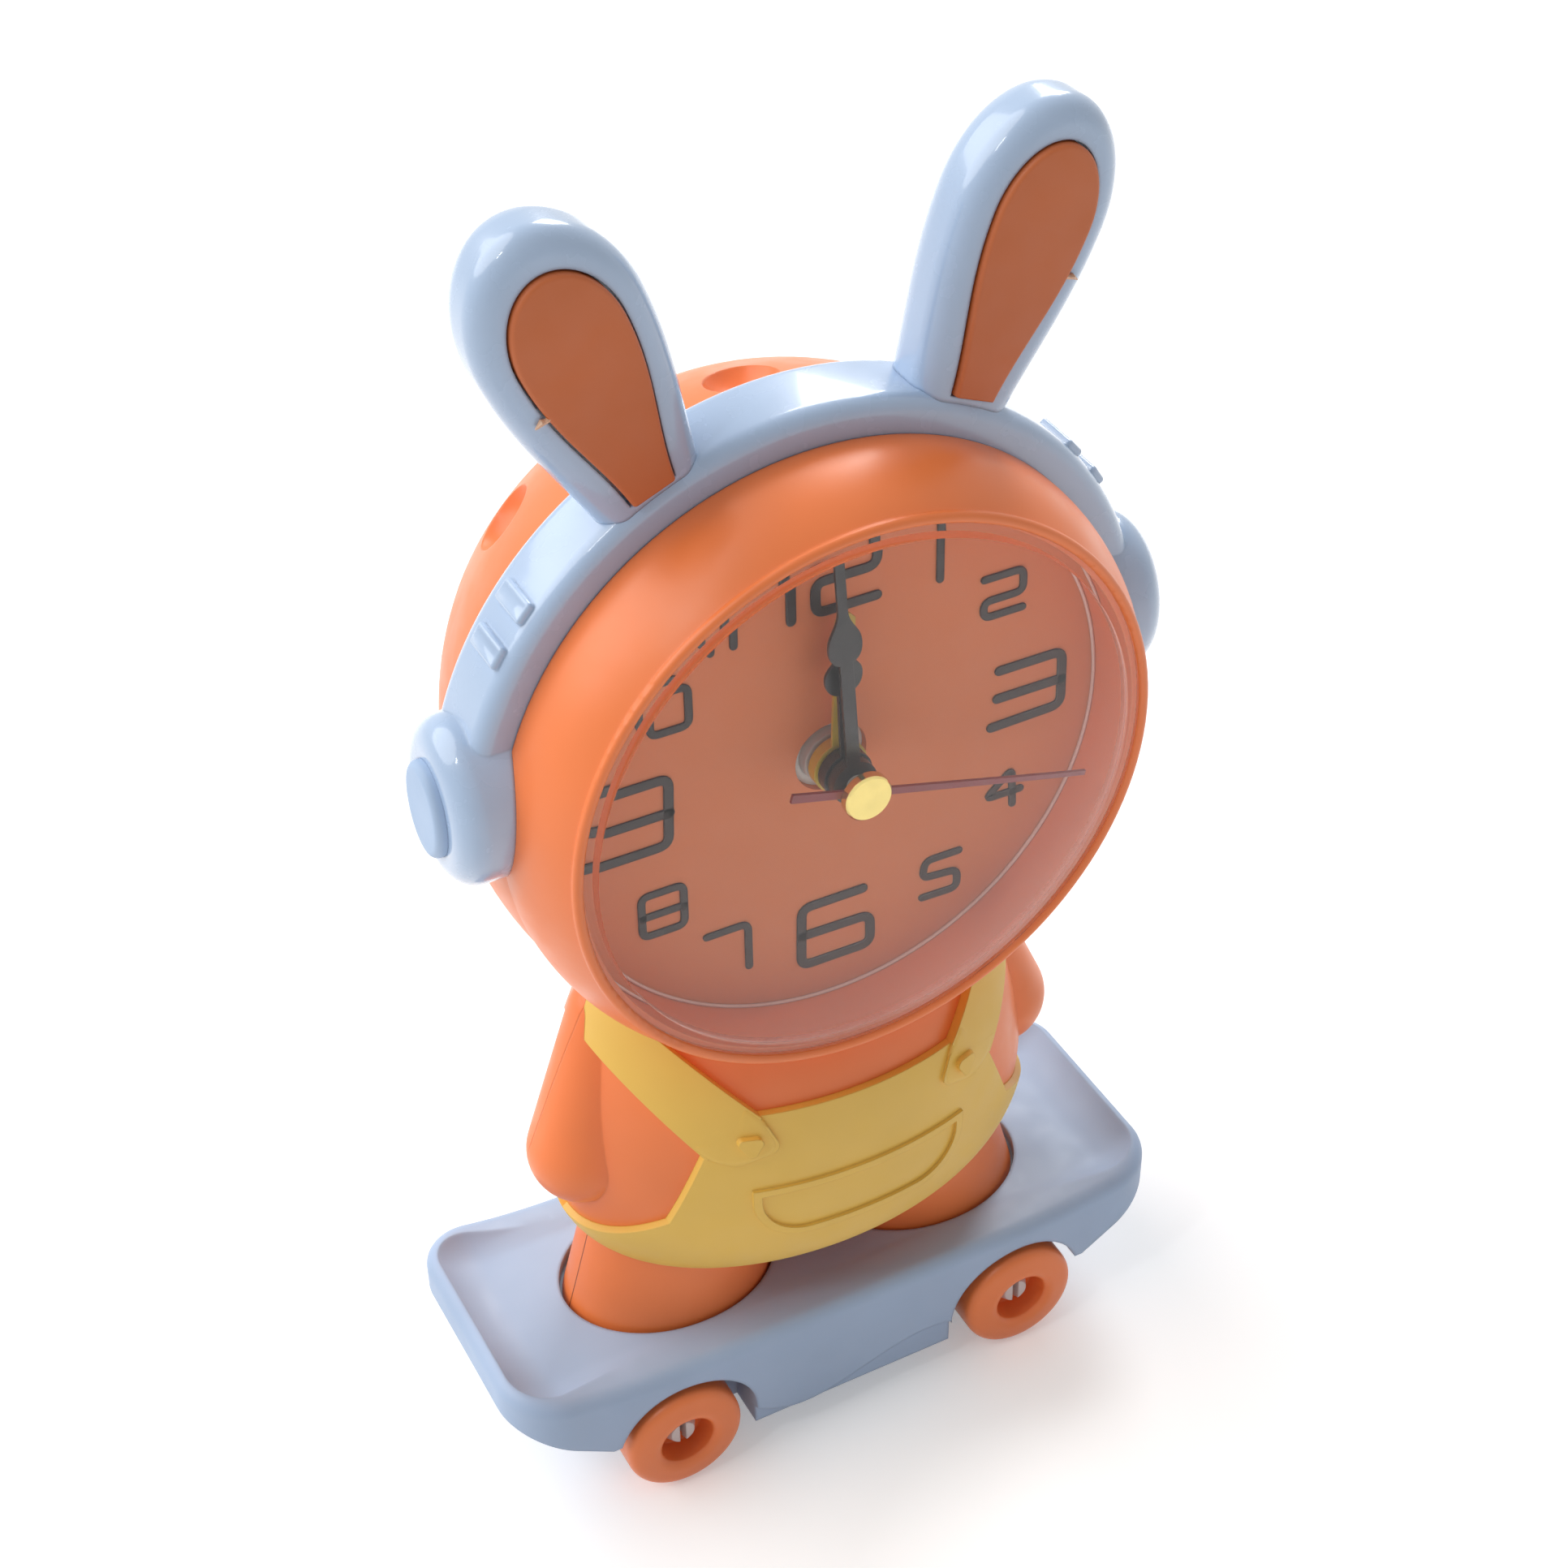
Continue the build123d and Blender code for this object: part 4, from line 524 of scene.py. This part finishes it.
def new_piece(name, mesh, finish, body):
    """Put a mesh in the scene as a piece that rides on a CAD body."""
    piece = bpy.data.objects.new(name, mesh)
    bpy.context.scene.collection.objects.link(piece)
    mesh.materials.append(MATERIALS[finish])
    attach(piece, body)


def join_rings(mesh, rings, smooth):
    """Wall of four-sided faces through rings that have equally many points."""
    for a, b in zip(rings, rings[1:]):
        for k in range(len(a)):
            n = (k + 1) % len(a)
            mesh.faces.new((a[k], b[k], b[n], a[n])).smooth = smooth


def corner_arc(before, corner, after, radius, steps):
    """Points of a corner turned into an arc, which takes at most half of each side."""
    here = Vector(corner)
    arrive = Vector(before) - here
    leave = Vector(after) - here
    start = here + arrive.normalized() * min(radius, arrive.length / 2)
    end = here + leave.normalized() * min(radius, leave.length / 2)
    shares = [k / steps for k in range(steps + 1)]
    return [start * (1 - t) ** 2 + here * 2 * t * (1 - t) + end * t ** 2 for t in shares]


def ribbon(mesh, path, width, closed):
    """Flat band of even width along a path, with round ends unless it is closed."""
    count = len(path)
    rails = []
    for k, point in enumerate(path):
        if closed:
            run = path[(k + 1) % (count - 1)] - path[(k - 1) % (count - 1)]
        else:
            run = path[min(k + 1, count - 1)] - path[max(k - 1, 0)]
        side = Vector((-run.y, run.x)).normalized() * width / 2
        rails.append((point + side, point - side))
    pairs = [[mesh.verts.new((p.x, p.y, 0)) for p in rail] for rail in rails]
    for a, b in zip(pairs, pairs[1:]):
        mesh.faces.new((a[0], a[1], b[1], b[0]))
    if closed:
        return
    for end, way in ((0, 1), (-1, -1)):
        reach = rails[end][0] - path[end]
        fan = []
        for step in range(1, PEN_END_STEPS):
            arm = reach.copy()
            arm.rotate(Matrix.Rotation(way * math.pi * step / PEN_END_STEPS, 2))
            fan.append(mesh.verts.new((*(path[end] + arm), 0)))
        outline = [pairs[end][0], *fan, pairs[end][1]]
        mesh.faces.new(outline[::way])


def thicken(mesh, height):
    """Give a flat drawing side walls and a back."""
    bmesh.ops.recalc_face_normals(mesh, faces=mesh.faces)
    result = bmesh.ops.extrude_face_region(mesh, geom=mesh.faces[:])
    moved = [item for item in result["geom"] if isinstance(item, bmesh.types.BMVert)]
    bmesh.ops.translate(mesh, verts=moved, vec=(0, 0, height))


def stand_up(mesh, place, turn):
    """Stand a drawing from the XY plane at a place, in millimetres; a half turn faces it to the back."""
    stand = Matrix.Translation(Vector(place) * MM) @ Matrix.Rotation(turn, 4, "Z")
    mesh.transform(stand @ Matrix.Rotation(math.radians(90), 4, "X") @ Matrix.Scale(MM, 4))


# Dial numbers and the ring round the dial

def number_strokes(text, left, low, width, height, pen):
    """Strokes of a number that fills its box, with its digits side by side."""
    gap = DIGIT_GAP * pen
    ones = text.count("1")
    wide = (width - gap * (len(text) - 1) - ones * pen) / max(1, len(text) - ones)
    strokes = []
    for digit in text:
        span = pen if digit == "1" else wide
        for points in DIGITS[digit]:
            strokes.append([(left + u * span, low + v * height) for u, v in points])
        left += span + gap
    return strokes


def draw_stroke(mesh, points, pen):
    """Draw a stroke with rounded corners; a closed one starts in the middle of its first side."""
    closed = points[0] == points[-1]
    if closed:
        half_way = tuple((a + b) / 2 for a, b in zip(points[0], points[1]))
        points = [half_way, *points[1:], half_way]
    path = [Vector(points[0])]
    for before, corner, after in zip(points, points[1:], points[2:]):
        path += corner_arc(before, corner, after, DIGIT_ROUND * pen, DIGIT_STEPS)
    path.append(Vector(points[-1]))
    ribbon(mesh, path, pen, closed)


def make_numbers():
    """Printed numbers on the dial."""
    for text, left, low, width, height, pen in NUMBERS:
        mesh = bmesh.new()
        for points in number_strokes(text, left, low, width, height, pen):
            draw_stroke(mesh, points, pen)
        thicken(mesh, INK_T)
        stand_up(mesh, hand_axis(), 0)
        name = f"number_{text}"
        new_piece(name, finished(mesh, name), "ink", "clock")


def make_painted_highlight_rim():
    """Thin pale ring round the dial; its pale colour is a painted highlight for the glint along the dial's
    edge.
    """
    axis_x, dial_y, axis_z = hand_axis()
    mesh = bmesh.new()
    rings = []
    for a in [math.tau * k / RIM_STEPS for k in range(RIM_STEPS)]:
        ring = []
        for b in [math.tau * k / RIM_SIDES for k in range(RIM_SIDES)]:
            out = RIM_R + RIM_TUBE * math.cos(b)
            ring.append(mesh.verts.new((out * math.cos(a), out * math.sin(a), RIM_TUBE * math.sin(b))))
        rings.append(ring)
    join_rings(mesh, rings + rings[:1], True)
    stand_up(mesh, (axis_x, dial_y - RIM_TUBE, axis_z), 0)
    new_piece("painted_highlight_rim", finished(mesh, "painted_highlight_rim"), "painted_highlight_rim", "clock")


# Moulding stubs and strap ends

def make_stubs():
    """Ragged stub at the outer edge of each ear insert."""
    for side, sign in (("left", -1), ("right", 1)):
        mesh = bmesh.new()
        rings = []
        for out, radius, lift in STUB_RINGS:
            ring = []
            for a in [math.tau * k / STUB_SIDES for k in range(STUB_SIDES)]:
                x = sign * (STUB_PLACE.x + out)
                y = STUB_PLACE.y + radius * math.cos(a) * (1 + STUB_RIPPLE * math.sin(STUB_LOBES * a))
                z = STUB_PLACE.z + lift - STUB_DROOP * out + STUB_FLATNESS * radius * math.sin(a)
                ring.append(mesh.verts.new(Vector((x, y, z)) * MM))
            rings.append(ring)
        join_rings(mesh, rings, False)
        mesh.faces.new(rings[-1])
        mesh.faces.new(rings[0][::-1])
        name = f"{side}_gate_stub"
        new_piece(name, finished(mesh, name), "flake", "clock")


def quadratic(x, z):
    """Terms of a quadratic in two directions."""
    return [1, x, z, x * x, x * z, z * z]


def strap_face(tree, sign, outline):
    """Quadratic fit of the front face of a strap end, leaving out the button and the notches."""
    spots = [PAD_CENTRE + (p - PAD_CENTRE) * share for p in outline for share in PAD_SHARES]
    for along in STRAP_ALONG:
        inner, outer = [Vector(a).lerp(Vector(b), along) for a, b in STRAP_EDGES]
        spots += [inner.lerp(outer, across) for across in STRAP_ACROSS]
    rows, depths = [], []
    for spot in spots:
        start = Vector((sign * spot.x, RAY_START_Y, spot.y)) * MM
        hit = tree.ray_cast(start, Vector((0, 1, 0)))[0]
        if hit and (spot - BUTTON).length >= BUTTON_CLEAR:
            rows.append(quadratic(*spot))
            depths.append(hit.y / MM)
    rows, depths = np.array(rows), np.array(depths)
    keep = np.ones(len(depths), bool)
    for _ in range(FIT_ROUNDS):
        fit = np.linalg.lstsq(rows[keep], depths[keep], rcond=None)[0]
        keep = depths - rows @ fit < FIT_SLACK
    return lambda spot: float(np.dot(fit, quadratic(*spot)))


def strap_end_mesh(face, sign, outline):
    """Low pad with a rounded edge, laid on the fitted face of a strap."""
    mesh = bmesh.new()

    def vert(spot, rise):
        return mesh.verts.new(Vector((sign * spot.x, face(spot) - rise, spot.y)) * MM)

    centre = vert(PAD_CENTRE, PAD_RINGS[0][1])
    rings = []
    for share, rise in PAD_RINGS:
        rings.append([vert(PAD_CENTRE + (p - PAD_CENTRE) * share, rise) for p in outline])
    for a, b in zip(rings[0], rings[0][1:] + rings[0][:1]):
        mesh.faces.new((centre, a, b)).smooth = True
    join_rings(mesh, rings, True)
    mesh.faces.new(rings[-1])
    return mesh


def make_strap_ends():
    """Smooth covers over the strap ends, laid on the bib."""
    cloth = NODES["overalls_front"]
    tree = BVHTree.FromPolygons([cloth.matrix_world @ v.co for v in cloth.data.vertices],
                                [tuple(p.vertices) for p in cloth.data.polygons])
    outline = []
    for k, (corner, radius) in enumerate(PAD_CORNERS):
        after = PAD_CORNERS[(k + 1) % len(PAD_CORNERS)][0]
        outline += corner_arc(PAD_CORNERS[k - 1][0], corner, after, radius, PAD_STEPS)
    for side, sign in (("left", -1), ("right", 1)):
        mesh = strap_end_mesh(strap_face(tree, sign, outline), sign, outline)
        name = f"{side}_strap_end"
        new_piece(name, finished(mesh, name), "yellow", "clock")


# Screws

def screw_mesh():
    """Pan-head screw with a cross recess, its head rising towards +Z from z = 0, in millimetres."""
    mesh = bmesh.new()
    verts = [mesh.verts.new((r * SCREW_R, 0, h * SCREW_H)) for r, h in SCREW_PROFILE]
    edges = [mesh.edges.new(pair) for pair in zip(verts, verts[1:])]
    bmesh.ops.spin(mesh, geom=verts + edges, angle=math.tau, steps=SCREW_SIDES,
                   axis=(0, 0, 1), cent=(0, 0, 0))
    bmesh.ops.remove_doubles(mesh, verts=mesh.verts, dist=1e-4)
    head = bpy.data.objects.new("screw_head", finished(mesh, "screw_head"))
    cutter = bmesh.new()
    bar = Matrix.Translation((0, 0, SCREW_H)) @ Matrix.Diagonal((CROSS_L, CROSS_W, 2 * CROSS_DEPTH, 1))
    for angle in (0, math.pi / 2):
        bmesh.ops.create_cube(cutter, size=1.0, matrix=Matrix.Rotation(angle, 4, "Z") @ bar)
    cross = bpy.data.objects.new("screw_cross", finished(cutter, "screw_cross"))
    for thing in (head, cross):
        bpy.context.scene.collection.objects.link(thing)
    cut = head.modifiers.new("cross", "BOOLEAN")
    cut.operation = "DIFFERENCE"
    cut.use_self = True
    cut.object = cross
    bpy.context.view_layer.update()
    data = bpy.data.meshes.new_from_object(head.evaluated_get(bpy.context.evaluated_depsgraph_get()))
    for thing in (head, cross):
        bpy.data.objects.remove(thing)
    data.name = "screw"
    return data


def make_screws():
    """Screws into the posts under the board and into the back of the head."""
    plain = screw_mesh()
    cover_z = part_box("base_cover")[0][2]
    back_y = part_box("rear_shell")[1][1]
    axis_x, _, axis_z = hand_axis()
    places = []
    for x in (-POST_X, POST_X):
        for y in (-POST_Y, POST_Y):
            spot = Vector((x * MM, y * MM, cover_z))
            places.append(Matrix.Translation(spot) @ Matrix.Rotation(math.pi, 4, "X"))
    for dx, dz in BACK_SCREWS:
        spot = Vector(((axis_x + dx) * MM, back_y, (axis_z + dz) * MM))
        places.append(Matrix.Translation(spot) @ Matrix.Rotation(math.radians(-90), 4, "X"))
    for k, place in enumerate(places):
        mesh = plain.copy()
        mesh.transform(place @ Matrix.Scale(MM, 4))
        new_piece(f"screw_{k + 1}", mesh, "steel", "clock")


# Signs on the back

def on_circle(radius, degrees):
    """Point on a circle round the origin."""
    return Vector((math.cos(math.radians(degrees)), math.sin(math.radians(degrees)))) * radius


def arrow_head(mesh, tip, direction, size):
    """Flat triangle that points in a direction."""
    along = direction.normalized() * size
    side = Vector((-along.y, along.x)) * ARROW_SPREAD
    base = tip - along
    mesh.faces.new([mesh.verts.new((*p, 0)) for p in (tip, base + side, base - side)])


def make_turn_signs():
    """Curved arrow over each setting knob."""
    back_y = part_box("rear_shell")[1][1] / MM
    axis_x, _, axis_z = hand_axis()
    for name, side in (("time_sign", -1), ("alarm_sign", 1)):
        mesh = bmesh.new()
        steps = [TURN_FROM + (TURN_TO - TURN_FROM) * k / TURN_STEPS for k in range(TURN_STEPS + 1)]
        ribbon(mesh, [on_circle(TURN_R, step) for step in steps], TURN_W, False)
        tip = on_circle(TURN_R, TURN_TIP) + TURN_TIP_SHIFT
        arrow_head(mesh, tip, on_circle(1, TURN_TIP - 90), TURN_HEAD)
        thicken(mesh, SIGN_RISE)
        stand_up(mesh, (axis_x + side * KNOB_X, back_y - SIGN_SINK, axis_z + KNOB_DZ), math.pi)
        new_piece(name, finished(mesh, name), "orange", "clock")


def make_door_arrow():
    """Raised arrow in the middle of the battery door."""
    low, high = [[v / MM for v in corner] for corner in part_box("battery_door")]
    mesh = bmesh.new()
    arrow_head(mesh, Vector((0, DOOR_TIP)), Vector((0, 1)), DOOR_HEAD)
    thicken(mesh, SIGN_RISE)
    stand_up(mesh, ((low[0] + high[0]) / 2, high[1] - SIGN_SINK, (low[2] + high[2]) / 2), math.pi)
    new_piece("door_arrow", finished(mesh, "door_arrow"), "orange", "door")


# Stage, light and camera

def seen_directly(tree):
    """One for rays from the camera, a reflection or glass, and nought for other light."""
    path = add(tree, "ShaderNodeLightPath").outputs
    seen = maths(tree, "MAXIMUM", path["Is Camera Ray"], path["Is Glossy Ray"])
    return maths(tree, "MAXIMUM", seen, path["Is Transmission Ray"])


def floor_material():
    """Pale floor that keeps the shadow and goes white for the camera, reflections and glass."""
    material, tree, shader = new_material("pale_floor")
    tree.nodes.remove(shader)
    matt = add(tree, "ShaderNodeBsdfDiffuse")
    tone = tinted(tree, noise(tree, object_coords(tree), FLOOR_NOISE), [FLOOR_TONE] * 3, FLOOR_DRIFT)
    tree.links.new(tone, matt.inputs["Color"])
    lift = add(tree, "ShaderNodeEmission")
    tree.links.new(map_range(tree, seen_directly(tree), 0, 1, 0, FLOOR_LIFT), lift.inputs["Strength"])
    both = add(tree, "ShaderNodeAddShader")
    tree.links.new(matt.outputs["BSDF"], both.inputs[0])
    tree.links.new(lift.outputs["Emission"], both.inputs[1])
    tree.links.new(both.outputs["Shader"], tree.nodes["Material Output"].inputs["Surface"])
    return material


def make_floor():
    """Plain floor just under the wheels."""
    mesh = bmesh.new()
    bmesh.ops.create_grid(mesh, x_segments=2, y_segments=2, size=FLOOR_SIZE / 2)
    floor = bpy.data.objects.new("floor", finished(mesh, "floor"))
    floor.location.z = -FLOOR_DROP
    floor.data.materials.append(floor_material())
    bpy.context.scene.collection.objects.link(floor)


def make_world():
    """Even sky for light, white for the camera and for what glass and metal show."""
    world = bpy.data.worlds.new("studio")
    bpy.context.scene.world = world
    world.use_nodes = True
    tree = world.node_tree
    back = tree.nodes["Background"]
    back.inputs["Color"].default_value = (1, 1, 1, 1)
    tree.links.new(map_range(tree, seen_directly(tree), 0, 1, SKY_LEVEL, 1), back.inputs["Strength"])


def make_lights():
    """Broad sun from the upper left, a narrow lamp for highlights and a soft panel behind."""
    for name, (kind, place, settings) in LAMPS.items():
        data = bpy.data.lights.new(name, kind)
        for key, value in settings.items():
            setattr(data, key, value)
        light = bpy.data.objects.new(name, data)
        light.location = place
        light.rotation_euler = (LAMP_AIM - Vector(place)).to_track_quat("-Z", "Y").to_euler()
        bpy.context.scene.collection.objects.link(light)


def make_camera():
    """Camera where the photograph was taken from."""
    data = bpy.data.cameras.new("photo_camera")
    data.sensor_width = SENSOR
    data.sensor_height = SENSOR
    data.sensor_fit = "HORIZONTAL"
    data.lens = CAMERA_LENS
    data.clip_start = NEAREST
    camera = bpy.data.objects.new("photo_camera", data)
    turn = Matrix.Rotation(math.radians(CAMERA_TURN), 4, "Z")
    tilt = Matrix.Rotation(math.radians(CAMERA_TILT), 4, "X")
    roll = Matrix.Rotation(math.radians(CAMERA_ROLL), 4, "Z")
    camera.matrix_world = Matrix.Translation(Vector(CAMERA_PLACE) * MM) @ turn @ tilt @ roll
    bpy.context.scene.collection.objects.link(camera)
    bpy.context.scene.camera = camera


bpy.context.scene.view_settings.view_transform = "Standard"
dress_nodes()
make_numbers()
make_painted_highlight_rim()
make_stubs()
make_strap_ends()
make_screws()
make_turn_signs()
make_door_arrow()
make_floor()
make_world()
make_lights()
make_camera()
